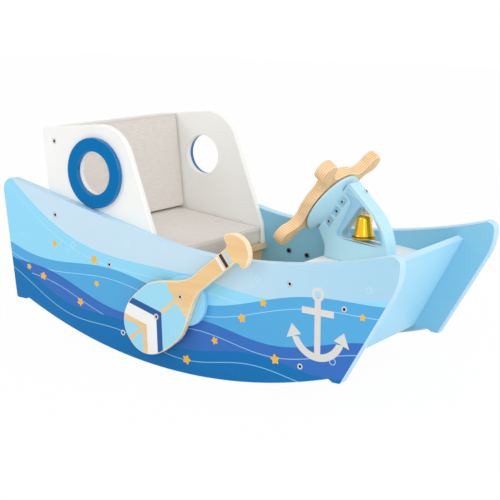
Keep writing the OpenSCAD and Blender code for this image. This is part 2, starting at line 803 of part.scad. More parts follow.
// Steering wheel: a disc with knobbed handles, hollowed between disc and knobs
function wheel_outline() =
  let (
    disc_r = wheel_d / 2,
    knob_r = knob_d / 2,
    a = disc_r + hollow_r,
    b = knob_r + hollow_r,
    swing = acos((a * a + knob_at * knob_at - b * b) / (2 * a * knob_at)),
    lift = atan2(a * sin(swing), knob_at - a * cos(swing)),
    pitch_a = 360 / handles,
    hollow_n = 14,
    knob_n = 30,
    disc_n = 8
  )
  [for (k = [0:handles - 1])
    let (t = k * pitch_a)
    each concat(
      [for (i = [0:hollow_n]) let (q = t + 180 - swing - (180 - swing - lift) * i / hollow_n)
        a * [cos(t - swing), sin(t - swing)] + hollow_r * [cos(q), sin(q)]],
      [for (i = [1:knob_n - 1]) let (q = t - 180 + lift + 2 * (180 - lift) * i / knob_n)
        knob_at * [cos(t), sin(t)] + knob_r * [cos(q), sin(q)]],
      [for (i = [0:hollow_n]) let (q = t - lift - (180 - swing - lift) * i / hollow_n)
        a * [cos(t + swing), sin(t + swing)] + hollow_r * [cos(q), sin(q)]],
      [for (i = [1:disc_n - 1]) let (q = t + swing + (pitch_a - 2 * swing) * i / disc_n)
        disc_r * [cos(q), sin(q)]]
    )];

module wheel() {
  color(beech) flange_frame() translate([0, 0, wheel_gap]) difference() {
    rotate(180 / handles) linear_extrude(height = wheel_t) polygon(wheel_outline());
    translate([0, 0, -1]) cylinder(d = bush_d, h = wheel_t + 2);
  }
}
module wheel_bushing() {
  color(nylon) flange_frame() translate([0, 0, wheel_gap]) difference() {
    cylinder(d = bush_d - 2 * run_gap, h = wheel_t);
    translate([0, 0, -1]) cylinder(d = axle_d + 2 * run_gap, h = wheel_t + 2);
  }
}
axle_head_d = 20;
axle_head_h = 5;
module wheel_axle() {
  top = wheel_gap + wheel_t + side_gap;
  color(bright_steel) flange_frame() difference() {
    union() {
      translate([0, 0, 2 - axle_reach]) cylinder(d = axle_d, h = axle_reach - 2 + top + 1);
      translate([0, 0, top]) cylinder(d = axle_head_d, h = axle_head_h);
    }
    translate([0, 0, top + axle_head_h / 2]) cylinder(d = axle_d * 0.75, h = axle_head_h, $fn = 6);
  }
}
module wheel_washer() {
  color(nylon) flange_frame() translate([0, 0, run_gap]) difference() {
    cylinder(d = axle_head_d + 8, h = wheel_gap - side_gap);
    translate([0, 0, -1]) cylinder(d = axle_d + 2 * run_gap, h = wheel_gap + 2);
  }
}
module wheel_nut() {
  color(dark_steel) flange_frame() difference() {
    axle_nut_box(0);
    translate([0, 0, -axle_reach]) cylinder(d = axle_d + 2 * run_gap, h = axle_reach);
  }
}

// Bell: hangs plumb at rest from a staple in the top of the window; measured from its pivot
bell_at = rest(console_org + [bell_out, bell_up]);
staple_w = 10;
staple_up = 22;
yoke_drop = 8;
yoke_w = 10;
yoke_t = 2;
pin_d = 2;
clapper_l = 22;
clapper_d = 10;
module at_bell() {
  translate([bell_at.x, 0, bell_at.y]) children();
}
module xbar(d, x0, x1) {
  translate([x0, 0, 0]) rotate([0, 90, 0]) cylinder(d = d, h = x1 - x0, $fn = 32);
}
module staple_legs(gap) {
  at_bell() for (s = [-1, 1]) translate([s * staple_w / 2, 0, gap > 0 ? 2 : 0])
    cylinder(d = wire_d + 0.3 + 2 * gap, h = staple_up + gap, $fn = 32);
}
module bell_staple() {
  color(bright_steel) union() {
    staple_legs(0);
    at_bell() xbar(wire_d, -staple_w / 2 - wire_d / 2, staple_w / 2 + wire_d / 2);
  }
}
module bell_stem() {
  eye = wire_d + 4;
  seat = -bell_drop - bell_wall - fit_gap;
  color(bright_steel) at_bell() difference() {
    union() {
      xbar(eye, -1.5, 1.5);
      translate([0, 0, seat - yoke_t / 2])
        cylinder(d = wire_d, h = -seat - wire_d / 2 + yoke_t / 2 - 1, $fn = 32);
      translate([-yoke_w / 2, -2, seat - yoke_t]) cube([yoke_w, 4, yoke_t]);
      for (s = [-1, 1]) translate([s * (yoke_w / 2 - 0.9) - 0.9, -2, seat - yoke_drop])
        cube([1.8, 4, yoke_drop]);
      translate([0, 0, seat - yoke_drop + 2]) xbar(pin_d, 0.5 - yoke_w / 2, yoke_w / 2 - 0.5);
    }
    xbar(wire_d + 2 * run_gap, -3, 3);
  }
}
// Crown, skirt, flare and a thicker lip; each point is radius, height and rounding
function bell_profile() =
  let (
    r = bell_d / 2,
    h = bell_h,
    w = bell_wall
  )
  rounded([
    [0, 0, 0],
    [r * 0.54, 0, 8],
    [r * 0.745, -h * 0.63, 60],
    [r * 0.86, -h * 0.86, 6],
    [r, -h + 3, 1],
    [r, -h, 0.8],
    [r - w - 0.4, -h, 0.5],
    [r * 0.86 - w, -h * 0.86, 6],
    [r * 0.745 - w, -h * 0.63, 60],
    [r * 0.54 - w, -w, 6],
    [0, -w, 0]
  ]);
module bell() {
  color(bell_yellow) at_bell() translate([0, 0, -bell_drop]) difference() {
    rotate_extrude() polygon(bell_profile());
    translate([0, 0, -bell_wall - 1])
      cylinder(d = wire_d + 2 * run_gap, h = bell_wall + 2, $fn = 32);
  }
}
module bell_clapper() {
  pin_z = -bell_drop - bell_wall - fit_gap - yoke_drop + 2;
  color(dark_steel) at_bell() translate([0, 0, pin_z]) difference() {
    union() {
      xbar(pin_d + 3, -2, 2);
      translate([0, 0, -clapper_l]) cylinder(d = 1.8, h = clapper_l - pin_d / 2 - 0.5, $fn = 24);
      translate([0, 0, -clapper_l]) sphere(d = clapper_d, $fn = 32);
    }
    xbar(pin_d + 2 * run_gap, -3, 3);
  }
}

// Paddles: blade, shoulder and shaft by formula, measured along the shaft from the pivot
blade_power = 2.25;
shoulder_a = -62;
shoulder_b = 48;
grip_r = 34;
function blade_half(u) =
  let (t = abs(u + blade_at) / (blade_l / 2))
  blade_w / 2 * pow(max(0, 1 - pow(t, blade_power)), 1 / blade_power);
function shoulder_half(u) =
  let (t = (u - shoulder_a) / (shoulder_b - shoulder_a))
  shaft_w / 2 + (blade_w - shaft_w) / 2 * (1 - t * t * (3 - 2 * t));
function paddle_half() =
  let (
    tip = -blade_at - blade_l / 2,
    round_n = 14,
    shoulder_n = 12,
    arc_n = 8,
    centre = grip_at + 1,
    arc_a = 74
  )
  concat(
    [for (i = [1:round_n])
      let (u = tip + blade_l / 2 * (1 - cos(90 * i / round_n)))
      [u, blade_half(u), 0]],
    [for (i = [0:shoulder_n])
      let (u = shoulder_a + (shoulder_b - shoulder_a) * i / shoulder_n)
      [u, shoulder_half(u), 0]],
    [
      [grip_at, shaft_w / 2, 8],
      [grip_at - 1, grip_w / 2, 7]
    ],
    [for (i = [0:arc_n - 1]) let (q = arc_a * (1 - i / arc_n))
      [centre + grip_r * cos(q), grip_w / 2 * sin(q), 0]]
  );
function paddle_outline() =
  let (
    half = paddle_half(),
    n = len(half)
  )
  rounded(concat(
    [[-blade_at - blade_l / 2, 0, 0]],
    half,
    [[grip_at + 1 + grip_r, 0, 0]],
    [for (i = [n - 1:-1:0]) [half[i].x, -half[i].y, half[i].z]]
  ));
disc_y = hull_w / 2 + disc_t;
paddle_y = disc_y + side_gap;
paddle_out = paddle_y + paddle_t;
glide_d = 18;
head_h = 2.5;
glide = pivot - glide_at * [cos(paddle_slope), sin(paddle_slope)];
module paddle() {
  difference() {
    slab(-paddle_out, paddle_t) translate(pivot) rotate(paddle_slope) polygon(paddle_outline());
    ybar(pivot, pivot_d + 2 * run_gap, -paddle_out - 1, -paddle_y + 1);
    ybar(pivot, pin_head_d + 2 * hole_gap, -paddle_out - 1, -paddle_out + head_h + side_gap);
    ybar(glide, screw_d + 2 * hole_gap, -paddle_out - 1, -paddle_y + 1);
    ybar(glide, pin_head_d + 2 * hole_gap, -paddle_out - 1, -paddle_out + head_h);
  }
}
module paddle_disc() {
  difference() {
    ybar(disc_at, disc_d, -disc_y, -hull_w / 2);
    ybar(pivot, pivot_d + 2 * run_gap, -disc_y - 1, -hull_w / 2 + 1);
    for (p = disc_bolts) ybar(p, bolt_hole_d, -disc_y + 2, -hull_w / 2 + 1);
  }
}
// A flush head with a hexagon socket
module pin_head(p) {
  difference() {
    ybar(p, pin_head_d, -paddle_out, -paddle_out + head_h);
    translate([p.x, -paddle_out - 1, p.y]) rotate([-90, 0, 0])
      cylinder(d = pin_head_d * 0.45, h = head_h * 0.6 + 1, $fn = 6);
  }
}
module paddle_pivot() {
  ybar(pivot, pivot_d, -paddle_out + 1, -inner_y - panel_t / 3 - 0.5);
  pin_head(pivot);
}
module paddle_glide() {
  difference() {
    ybar(glide, glide_d, -paddle_y, -hull_w / 2 - side_gap);
    ybar(glide, screw_d + 2 * run_gap, -paddle_y - 1, -hull_w / 2 - side_gap - 1);
  }
}
module paddle_screw() {
  ybar(glide, screw_d, -paddle_out + head_h - 1, -hull_w / 2 - side_gap - 1.5);
  pin_head(glide);
}
module disc_bolt_set() {
  for (p = disc_bolts) difference() {
    union() {
      ybar(p, bolt_d, -disc_y + 2.5, -inner_y + 1);
      ybar(p, bolt_head_d, -inner_y, -inner_y + head_h);
    }
    translate([p.x, -inner_y + head_h * 0.4, p.y]) rotate([-90, 0, 0])
      cylinder(d = bolt_d * 0.8, h = head_h, $fn = 6);
  }
}
module hull_bolt_set() {
  for (b = hull_bolts) difference() {
    union() {
      ybar(b[0], bolt_d, -hull_w / 2 + 1, -inner_y + bolt_end(b));
      ybar(b[0], bolt_head_d, -hull_w / 2, -hull_w / 2 + bolt_head_h);
    }
    translate([b[0].x, -hull_w / 2 - 1, b[0].y]) rotate([-90, 0, 0])
      cylinder(d = bolt_d * 0.8, h = bolt_head_h * 0.7 + 1, $fn = 6);
  }
}
module barrel_nuts() {
  color(bright_steel) for (b = hull_bolts, s = [-1, 1])
    translate([b[0].x, s * nut_y(b), b[0].y]) difference() {
      rotate([0, b[1], 0]) cylinder(d = nut_d, h = nut_l, center = true);
      rotate([90, 0, 0]) cylinder(d = bolt_d + 2 * run_gap, h = 2 * nut_d, center = true);
    }
}
module wing_screws() {
  color(bright_steel) for (s = [0, 1]) mirror([0, s, 0]) difference() {
    union() {
      ybar(wing_screw, screw_d, -inner_y + wing_t / 3 - 1, -inner_y + wing_screw_l);
      ybar(wing_screw, bolt_head_d, -inner_y + fit_gap, -inner_y + wing_t / 3);
    }
    translate([wing_screw.x, -inner_y - 1, wing_screw.y]) rotate([-90, 0, 0])
      cylinder(d = screw_d, h = wing_t / 6 + 1, $fn = 6);
  }
}
module apron_screws() {
  x = seat_edge - apron_in - apron_t / 2;
  color(dark_steel) level() for (y = apron_screws) translate([x, y, seat_z - seat_t / 2]) {
    cylinder(d = screw_head_d, h = seat_t / 2);
    translate([0, 0, -seat_t / 2 - apron_screw_l + 1])
      cylinder(d = screw_d, h = apron_screw_l + seat_t / 2);
  }
}

// Starboard pieces and their port twins
module side_panel_right() {
  color(pale_blue) side_panel();
}
module side_panel_left() {
  color(pale_blue) port() side_panel();
}
module wing_right() {
  color(white_paint) wing();
}
module wing_left() {
  color(white_paint) port() wing();
}
module porthole_ring_right() {
  color(ring_blue) porthole_ring();
}
module porthole_ring_left() {
  color(ring_blue) port() porthole_ring();
}
module console_right() {
  color(sky_blue) console_half();
}
module console_left() {
  color(sky_blue) difference() {
    port() console_half();
    front_screw_frame() translate([0, 0, -front_screw_l])
      cylinder(d = screw_d + 2 * hole_gap, h = 2 * front_screw_l);
  }
}
module paddle_right() {
  color(sky_blue) paddle();
}
module paddle_left() {
  color(sky_blue) port() paddle();
}
module paddle_disc_right() {
  color(sky_blue) paddle_disc();
}
module paddle_disc_left() {
  color(sky_blue) port() paddle_disc();
}
module paddle_pivot_right() {
  color(bright_steel) paddle_pivot();
}
module paddle_pivot_left() {
  color(bright_steel) port() paddle_pivot();
}
module paddle_glide_right() {
  color(nylon) paddle_glide();
}
module paddle_glide_left() {
  color(nylon) port() paddle_glide();
}
module paddle_screw_right() {
  color(bright_steel) paddle_screw();
}
module paddle_screw_left() {
  color(bright_steel) port() paddle_screw();
}
module disc_bolts_right() {
  color(bright_steel) disc_bolt_set();
}
module disc_bolts_left() {
  color(bright_steel) port() disc_bolt_set();
}
module hull_bolts_right() {
  color(bright_steel) hull_bolt_set();
}
module hull_bolts_left() {
  color(bright_steel) port() hull_bolt_set();
}

side_panel_right();
side_panel_left();
bow_panel();
foredeck();
floor_board();
seat_board();
seat_apron();
backrest_board();
wing_right();
wing_left();
porthole_ring_right();
porthole_ring_left();
seat_cushion();
back_cushion();
console_right();
console_left();
console_screws();
console_foot_screws();
wheel();
wheel_bushing();
wheel_axle();
wheel_washer();
wheel_nut();
bell();
bell_stem();
bell_clapper();
bell_staple();
paddle_right();
paddle_left();
paddle_disc_right();
paddle_disc_left();
paddle_pivot_right();
paddle_pivot_left();
paddle_glide_right();
paddle_glide_left();
paddle_screw_right();
paddle_screw_left();
disc_bolts_right();
disc_bolts_left();
hull_bolts_right();
hull_bolts_left();
barrel_nuts();
wing_screws();
apron_screws();
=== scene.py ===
# %% [markdown]
# # A rocking boat, dressed in Blender
# The boat's solids come from a imported CAD model, in metres: +X to the bow, +Y to port, +Z up,
# floor at Z = 0. Every piece below is made in that frame, so nothing has to be fitted by eye.
# The model is loaded first. The dressed boat has to stay within it.

import json
from math import atan2, cos, pi, radians, sin, tan, tau

import bmesh
import bpy
from mathutils import Matrix, Vector
from mathutils.bvhtree import BVHTree


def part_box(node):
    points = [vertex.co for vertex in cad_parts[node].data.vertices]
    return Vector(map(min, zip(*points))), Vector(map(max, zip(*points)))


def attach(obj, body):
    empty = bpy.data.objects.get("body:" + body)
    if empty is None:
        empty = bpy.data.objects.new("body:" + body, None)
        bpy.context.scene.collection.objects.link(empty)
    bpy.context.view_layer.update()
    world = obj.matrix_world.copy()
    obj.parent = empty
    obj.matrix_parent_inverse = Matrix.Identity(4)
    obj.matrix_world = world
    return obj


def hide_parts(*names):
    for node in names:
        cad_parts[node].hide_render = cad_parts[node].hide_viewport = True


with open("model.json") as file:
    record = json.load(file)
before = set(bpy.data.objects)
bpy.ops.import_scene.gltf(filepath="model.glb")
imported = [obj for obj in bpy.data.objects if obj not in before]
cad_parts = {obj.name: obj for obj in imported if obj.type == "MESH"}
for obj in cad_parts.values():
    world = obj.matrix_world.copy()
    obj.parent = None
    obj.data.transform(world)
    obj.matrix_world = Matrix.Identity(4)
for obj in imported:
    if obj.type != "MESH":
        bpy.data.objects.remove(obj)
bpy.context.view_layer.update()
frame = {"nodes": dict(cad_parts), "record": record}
scene = bpy.context.scene
nodes = frame["nodes"]
groups = frame["record"]["behaviour"]["bodies"]
body_of = {node: body for body, members in groups.items() for node in members}

# %% [markdown]
# ## Camera
# A photograph is matched by four things: the direction it was taken from, the distance, the
# point in its middle and the focal length. They could be found by nudging a camera until lines
# fall into place. Here they come from a fit of known points of the boat, so they are just stated.

# %% Camera
AZIMUTH = radians(36.20)
ELEVATION = radians(12.68)
DISTANCE = 2.108
AIM = Vector((0.027, 0.0, 0.198))
LENS = 79.57


def direction(azimuth, elevation):
    """The way from the boat to a viewer: azimuth 0 stands on the starboard side."""
    flat = cos(elevation)
    return Vector((sin(azimuth) * flat, -cos(azimuth) * flat, sin(elevation)))


def add_object(name, data):
    obj = bpy.data.objects.new(name, data)
    scene.collection.objects.link(obj)
    return obj


camera = add_object("camera", bpy.data.cameras.new("camera"))
camera.data.lens = LENS
back = direction(AZIMUTH, ELEVATION)
camera.location = AIM + DISTANCE * back
camera.rotation_euler = back.to_track_quat("Z", "Y").to_euler()
scene.camera = camera
scene.view_settings.view_transform = "Standard"
print("camera at", [round(v, 3) for v in camera.location])

# %% [markdown]
# ## Node trees as Python
# Materials and Geometry Nodes are both trees of nodes. Clicking them together is fine once, but a
# script that repeats it is hard to read. So one small class wraps an output socket and overloads
# the operators: `a * 2 + b` adds the Math nodes by itself. One method, `node`, adds any other
# node.


# %% Sockets that can be added and multiplied
def maths(operation):
    """A method that adds one Math node."""

    def method(self, *others):
        return self.tree.node("Math", [self, *others], operation=operation)

    return method


class Field:
    """One output of a node, ready for arithmetic."""

    def __init__(self, tree, socket):
        self.tree = tree
        self.socket = socket

    __add__, __sub__ = maths("ADD"), maths("SUBTRACT")
    __mul__, __truediv__ = maths("MULTIPLY"), maths("DIVIDE")
    __abs__, sin = maths("ABSOLUTE"), maths("SINE")
    root, most = maths("SQRT"), maths("MAXIMUM")

    def __rsub__(self, other):
        return (self * -1.0) + other

    def over(self, edge, soft=0.0003):
        """1 where the field is above the edge, 0 below, with a narrow smooth step between."""
        values = [self - edge, -soft, soft, 0.0, 1.0]
        return self.tree.node("MapRange", values, interpolation_type="SMOOTHSTEP")

    def under(self, edge, *soft):
        return 1.0 - self.over(edge, *soft)

    def within(self, low, high, *soft):
        """1 between two limits."""
        return self.over(low, *soft) * self.under(high, *soft)


# %% One method for every node
def assign(thing, **settings):
    for name, value in settings.items():
        setattr(thing, name, value)
    return thing


class Tree:
    """A node tree whose nodes are added by calls; "Math" in a material is ShaderNodeMath."""

    def __init__(self, tree):
        self.tree = tree
        self.family = tree.bl_idname.removesuffix("Tree")

    def node(self, kind, values=(), out=0, **settings):
        known = kind if "Node" in kind else self.family + kind
        made = assign(self.tree.nodes.new(known), **settings)
        pairs = values.items() if isinstance(values, dict) else enumerate(values)
        for key, value in pairs:
            if isinstance(value, Field):
                self.tree.links.new(value.socket, made.inputs[key])
            else:
                made.inputs[key].default_value = value
        shown = [socket for socket in made.outputs if socket.enabled]
        return Field(self, shown[out]) if shown else None


# %% [markdown]
# ## A finish
# Each finish is a Principled BSDF. What is the same all over is set on its sockets. What varies,
# such as grain or a weave, is worked out from Object coordinates, which stay put on a piece
# when it moves. Colours are written as a screen shows them and turned into linear light.


# %% The finish class
def srgb(red, green, blue):
    """A colour in 0 to 255 screen values, as the linear values that shaders use."""
    parts = [c / 255 for c in (red, green, blue)]
    return tuple(c / 12.92 if c < 0.04 else ((c + 0.055) / 1.055) ** 2.4 for c in parts) + (1.0,)


def shade(colour, factor):
    return tuple(min(1.0, c * factor) for c in colour[:3]) + (1.0,)


class Finish(Tree):
    """A material on Object coordinates."""

    def __init__(self, name, **constants):
        self.material = bpy.data.materials.new(name)
        self.material.use_nodes = True
        super().__init__(self.material.node_tree)
        self.shader = self.tree.nodes["Principled BSDF"]
        for socket, value in constants.items():
            self.shader.inputs[socket.replace("_", " ")].default_value = value
        self.point = self.node("TexCoord", out=3)
        parts = self.tree.nodes.new("ShaderNodeSeparateXYZ")
        self.tree.links.new(self.point.socket, parts.inputs[0])
        self.x, self.y, self.z = [Field(self, socket) for socket in parts.outputs]

    def mix(self, first, second, share, **blend):
        values = {0: share, 6: first, 7: second}
        return self.node("Mix", values, data_type="RGBA", **blend)

    def noise(self, scale, detail=2.0, stretch=(1, 1, 1), turn=(0, 0, 0)):
        values = {"Vector": self.point, "Rotation": turn, "Scale": stretch}
        place = self.node("Mapping", values)
        return self.node("TexNoise", {"Vector": place, "Scale": scale, "Detail": detail})

    def cloudy(self, colour, low, high, scale, detail=3):
        """A noise, and the colour as it varies with it between two shades."""
        cloud = self.noise(scale, detail)
        return cloud, self.mix(shade(colour, low), shade(colour, high), cloud)

    def wear(self, colour=None, rough=None, height=None, depth=0.0001, coat=None):
        """Feeds the shader's varying sockets; height is a bump of the given depth in metres."""
        sockets = {"Base Color": colour, "Roughness": rough, "Coat Weight": coat}
        if height is not None:
            values = {"Strength": 1.0, "Distance": depth, "Height": height}
            sockets["Normal"] = self.node("Bump", values)
        for name, field in sockets.items():
            if field is not None:
                self.tree.links.new(field.socket, self.shader.inputs[name])
        return self


print("finishes are ready to be written")

# %% [markdown]
# ## Studio
# Product photos often have a white ground with hardly a shadow. More light would bleach the
# boat's colours, so the white comes from the floor: to the camera it glows, and otherwise it is
# a matt floor that still takes a shadow. A soft lamp stands to the left, as the paddle's shadow
# in the photo says, a second one lights what faces the bow, a third beside the camera reaches
# the bell in its window, and the world fills in.

# %% Floor
GLOW = 0.97
FLOOR_SIZE = 9.0
WHITE = (1, 1, 1, 1)


def emptied(owner):
    """The tree of a material or a world, with nothing in it."""
    owner.use_nodes = True
    owner.node_tree.nodes.clear()
    return Tree(owner.node_tree)


def seen_directly(tree):
    """1 for rays that show the ground to the viewer, straight or in a mirror."""
    path = tree.tree.nodes.new("ShaderNodeLightPath").outputs
    rays = ["Is Camera Ray", "Is Glossy Ray", "Is Transmission Ray"]
    first, second, third = [Field(tree, path[ray]) for ray in rays]
    return first.most(second).most(third)


def mesh_from(bm, name):
    mesh = bpy.data.meshes.new(name)
    bm.to_mesh(mesh)
    bm.free()
    return mesh


ground = bpy.data.materials.new("studio_floor")
studio = emptied(ground)
matt = studio.node("BsdfDiffuse", {"Color": (0.86, 0.86, 0.86, 1)})
glow = studio.node("Emission", {"Color": WHITE, "Strength": 1.0})
mixed = studio.node("MixShader", [seen_directly(studio) * GLOW, matt, glow])
studio.node("OutputMaterial", [mixed])

bm = bmesh.new()
bmesh.ops.create_grid(bm, x_segments=1, y_segments=1, size=FLOOR_SIZE)
floor = add_object("floor", mesh_from(bm, "floor"))
floor.data.materials.append(ground)
print("white ground, glow", GLOW)

# %% World
FILL = 0.80
scene.world = bpy.data.worlds.new("studio_world")
sky = emptied(scene.world)
fill = sky.node("Background", {"Color": WHITE, "Strength": FILL})
white = sky.node("Background", {"Color": WHITE, "Strength": 1.0})
around = sky.node("MixShader", [seen_directly(sky), fill, white])
sky.node("OutputWorld", [around])
print("white world, fill", FILL)

# %% Lamps
LAMP_AIM = Vector((0.0, 0.0, 0.2))
# Name, azimuth and elevation in degrees, distance, size and power
lamps = [
    ("key_light", -36, 32, 2.6, 0.8, 8),
    ("front_light", 90, 34, 2.8, 1.2, 18),
    ("eye_light", 40, 14, 2.7, 0.3, 8),
]
for name, azimuth, elevation, distance, size, power in lamps:
    lamp = assign(bpy.data.lights.new(name, "AREA"), shape="DISK", size=size, energy=power)
    way = direction(radians(azimuth), radians(elevation))
    softbox = add_object(name, lamp)
    softbox.location = LAMP_AIM + distance * way
    softbox.rotation_euler = way.to_track_quat("Z", "Y").to_euler()
print(len(lamps), "softboxes")

# %% [markdown]
# ## Pieces from the solids
# Most boards have their true shape in the CAD model, but with knife edges, and real boards are
# rounded before they are painted. A CAD mesh is loose triangles, so a copy is merged and its flat
# faces are joined. Then a Bevel modifier rounds the edges by weight: fully along outlines, and
# only a little around small holes, which would grow otherwise.

# %% Merged copies and their sharp edges
SHARP = 0.6
SMALL_LOOP = 0.045


def merged_copy(node):
    bm = bmesh.new()
    bm.from_mesh(nodes[node].data)
    bmesh.ops.remove_doubles(bm, verts=bm.verts[:], dist=1e-5)
    bmesh.ops.dissolve_limit(bm, angle_limit=0.005, verts=bm.verts[:], edges=bm.edges[:])
    return bm


def clusters(left, beside):
    """Splits a set into groups that hang together; beside(item) gives an item's neighbours."""
    while left:
        group = [left.pop()]
        for item in group:
            near = beside(item) & left
            left -= near
            group.extend(near)
        yield group


def weigh_edges(bm, width, hole_width):
    layer = bm.edges.layers.float.new("bevel_weight_edge")
    folds = [edge for edge in bm.edges if len(edge.link_faces) == 2]
    sharp = {edge for edge in folds if edge.calc_face_angle(0.0) > SHARP}
    for group in clusters(sharp, lambda e: {f for vert in e.verts for f in vert.link_edges}):
        points = [vert.co for edge in group for vert in edge.verts]
        span = max((p - points[0]).length for p in points)
        for edge in group:
            edge[layer] = 1.0 if span > SMALL_LOOP else hole_width / width


# %% Bodies, slots and finishes
SIDES = (("right", -1), ("left", 1))


def slot_of(node):
    rows = frame["record"]["subparts"]
    return next(row["material_slot"] for row in rows if row["node"] == node)


def stand_in(obj, node, finishes=()):
    """Gives a piece its finishes and the body of the CAD node that it stands for, and hides that
    node.
    """
    for finish in finishes:
        obj.data.materials.append(finish.material)
    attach(obj, body_of[node])
    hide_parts(node)
    slot_of(node)


def add_on(obj):
    """Puts a piece that stands for no CAD node on the hull."""
    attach(obj, "hull")


# %% Rounded boards
def smooth_shaded(mesh, angle=35):
    mesh.shade_smooth()
    mesh.set_sharp_from_angle(angle=radians(angle))


def rounded_board(node, finishes, width, segments=3, hole_width=0.0004, sides=None, rim=0):
    """A board from its CAD node; sides(normal) picks the finish of each flat face."""
    bm = merged_copy(node)
    weigh_edges(bm, width, hole_width)
    for face in bm.faces:
        face.material_index = sides(face.normal) if sides else 0
    obj = add_object("fin_" + node, mesh_from(bm, node))
    smooth_shaded(obj.data)
    bevel = assign(obj.modifiers.new("rounded_edges", "BEVEL"), limit_method="WEIGHT")
    assign(bevel, width=width, segments=segments, harden_normals=True, material=rim)
    stand_in(obj, node, finishes)


print("helpers for rounded boards")

# %% [markdown]
# ## Paint
# The boards are sprayed with satin paint. A flat colour would look like paper, so the paint has
# a faint cloudiness, a roughness that follows it, and the fine orange peel that spraying leaves.


# %% Painted finishes
def painted(name, colour, rough=0.42, coat=0.12):
    finish = Finish(name, Coat_Weight=coat, Coat_Roughness=0.28, Specular_IOR_Level=0.3)
    cloud, tint = finish.cloudy(colour, 0.96, 1.03, 11)
    return finish.wear(tint, cloud * 0.12 + (rough - 0.06), finish.noise(900), 0.00003)


edge_paint = painted("edge_paint", srgb(187, 223, 243))
inner_paint = painted("inner_paint", srgb(140, 205, 234))
sky_paint = painted("sky_paint", srgb(172, 228, 252))
disc_paint = painted("disc_paint", srgb(152, 216, 250))
white_paint = painted("white_paint", srgb(246, 246, 243), 0.38)
print("paints for edges, inner faces, bow, discs and wings")

# %% [markdown]
# ## Side panels
# The outer faces carry a print of waves in five blues. An image would fix its resolution, so the
# waves are drawn by arithmetic: each is a height over the length of the boat, a rise towards
# either end plus a sine, and whatever lies under it takes the next deeper blue. A thin light
# line follows every wave a little lower down.

# %% Waves
PALE_INK = srgb(202, 228, 243)
LINE_INK = srgb(190, 238, 255)
LINE_DROP = 0.021
LINE_HALF = 0.0007
# Height amidships, rise to the bow and to the stern, swing, length, phase and colour
waves = [
    (0.176, 0.10, 0.78, 0.012, 0.52, 0.30, srgb(150, 220, 250)),
    (0.150, 0.28, 0.25, 0.014, 0.43, 0.62, srgb(84, 172, 224)),
    (0.096, 0.12, 0.34, 0.012, 0.36, 0.15, srgb(54, 112, 192)),
    (0.056, 0.06, 0.50, 0.009, 0.30, 0.70, srgb(0, 114, 181)),
]


def wave_height(x, wave, sine=sin):
    """Works on numbers and, with a sine for them, on fields too."""
    height, bow, stern, swing, length, phase, _ = wave
    ahead = (x + abs(x)) * 0.5
    behind = (x - abs(x)) * 0.5
    ends = ahead * ahead * bow + behind * behind * stern
    return ends + sine((x / length + phase) * tau) * swing + height


panel_print = Finish("panel_print", Coat_Weight=0.06, Coat_Roughness=0.22, Specular_IOR_Level=0.16)
ink = panel_print.mix(PALE_INK, srgb(170, 214, 236), panel_print.x.over(0.2, 0.25))
for wave in waves:
    below = wave_height(panel_print.x, wave, Field.sin) - panel_print.z
    ink = panel_print.mix(ink, wave[-1], below.over(0.0))
    line = abs(below - LINE_DROP).under(LINE_HALF)
    ink = panel_print.mix(ink, LINE_INK, line * 0.6)
print(len(waves), "waves")

# %% [markdown]
# ## Anchor
# Near the bow the print shows a plain anchor, as any book of signs has it. Its shape is a union
# of simple tests on the same coordinates: a ring, two bars, part of a wide ring, two triangles.
# Both halves are alike, so the distance from the shank is used without its sign.

# %% Anchor by tests
ANCHOR_AT = (0.300, 0.0894)
ANCHOR_TALL = 89
ANCHOR_SCALE = 0.00142
anchor_p = abs((panel_print.x - ANCHOR_AT[0]) / ANCHOR_SCALE)
anchor_q = (panel_print.z - ANCHOR_AT[1]) / ANCHOR_SCALE
SOFT = 0.25


def reach(centre):
    """Distance from a point on the shank's line."""
    rise = anchor_q - centre
    return (anchor_p * anchor_p + rise * rise).root()


def left_of(start, end):
    """1 on the left of a line from start to end."""
    run = Vector(end) - Vector(start)
    side = (anchor_q - start[1]) * run.x - (anchor_p - start[0]) * run.y
    return (side / run.length).over(0.0, SOFT)


fluke = [(22.6, 21.8), (43.2, 14.3), (35.9, 33.1)]
edges = [left_of(a, b) for a, b in zip(fluke, fluke[1:] + fluke[:1])]
anchor = edges[0] * edges[1] * edges[2]
for part in (
    reach(73).within(4.5, 8.5, SOFT),
    anchor_q.within(-4, 68, SOFT) * anchor_p.under(4.2, SOFT),
    anchor_q.within(48, 56, SOFT) * anchor_p.under(22, SOFT),
    reach(30).within(28.5, 37.5, SOFT) * anchor_q.under(18, SOFT),
):
    anchor = anchor.most(part)
ink = panel_print.mix(ink, srgb(224, 220, 213), anchor)
cloud = panel_print.noise(9, 3)
ink = panel_print.mix(ink, (0.9, 0.93, 0.96, 1), cloud * 0.3, blend_type="MULTIPLY")
panel_print.wear(ink, cloud * 0.1 + 0.34, panel_print.noise(900), 0.00003)
print("anchor", round(ANCHOR_TALL * ANCHOR_SCALE, 3), "m high")

# %% Panels with a printed face
for side, sign in SIDES:
    rounded_board(
        "side_panel_" + side,
        [panel_print, edge_paint, inner_paint],
        width=0.0028,
        sides=lambda n: 0 if n.y * sign > 0.9 else 2 if n.y * sign < -0.9 else 1,
        rim=1,
    )
print("two side panels")

# %% Painted boards
rounded_board(
    "bow_panel", [sky_paint, edge_paint], 0.002, sides=lambda n: 0 if abs(n.x) > 0.5 else 1, rim=1
)
rounded_board("foredeck", [white_paint], 0.0012)
rounded_board("backrest_board", [white_paint], 0.002)
for side, _ in SIDES:
    rounded_board("wing_" + side, [white_paint], 0.0026)
    rounded_board("paddle_disc_" + side, [disc_paint], 0.0018)
print("bow panel, deck, backrest, wings and paddle discs")

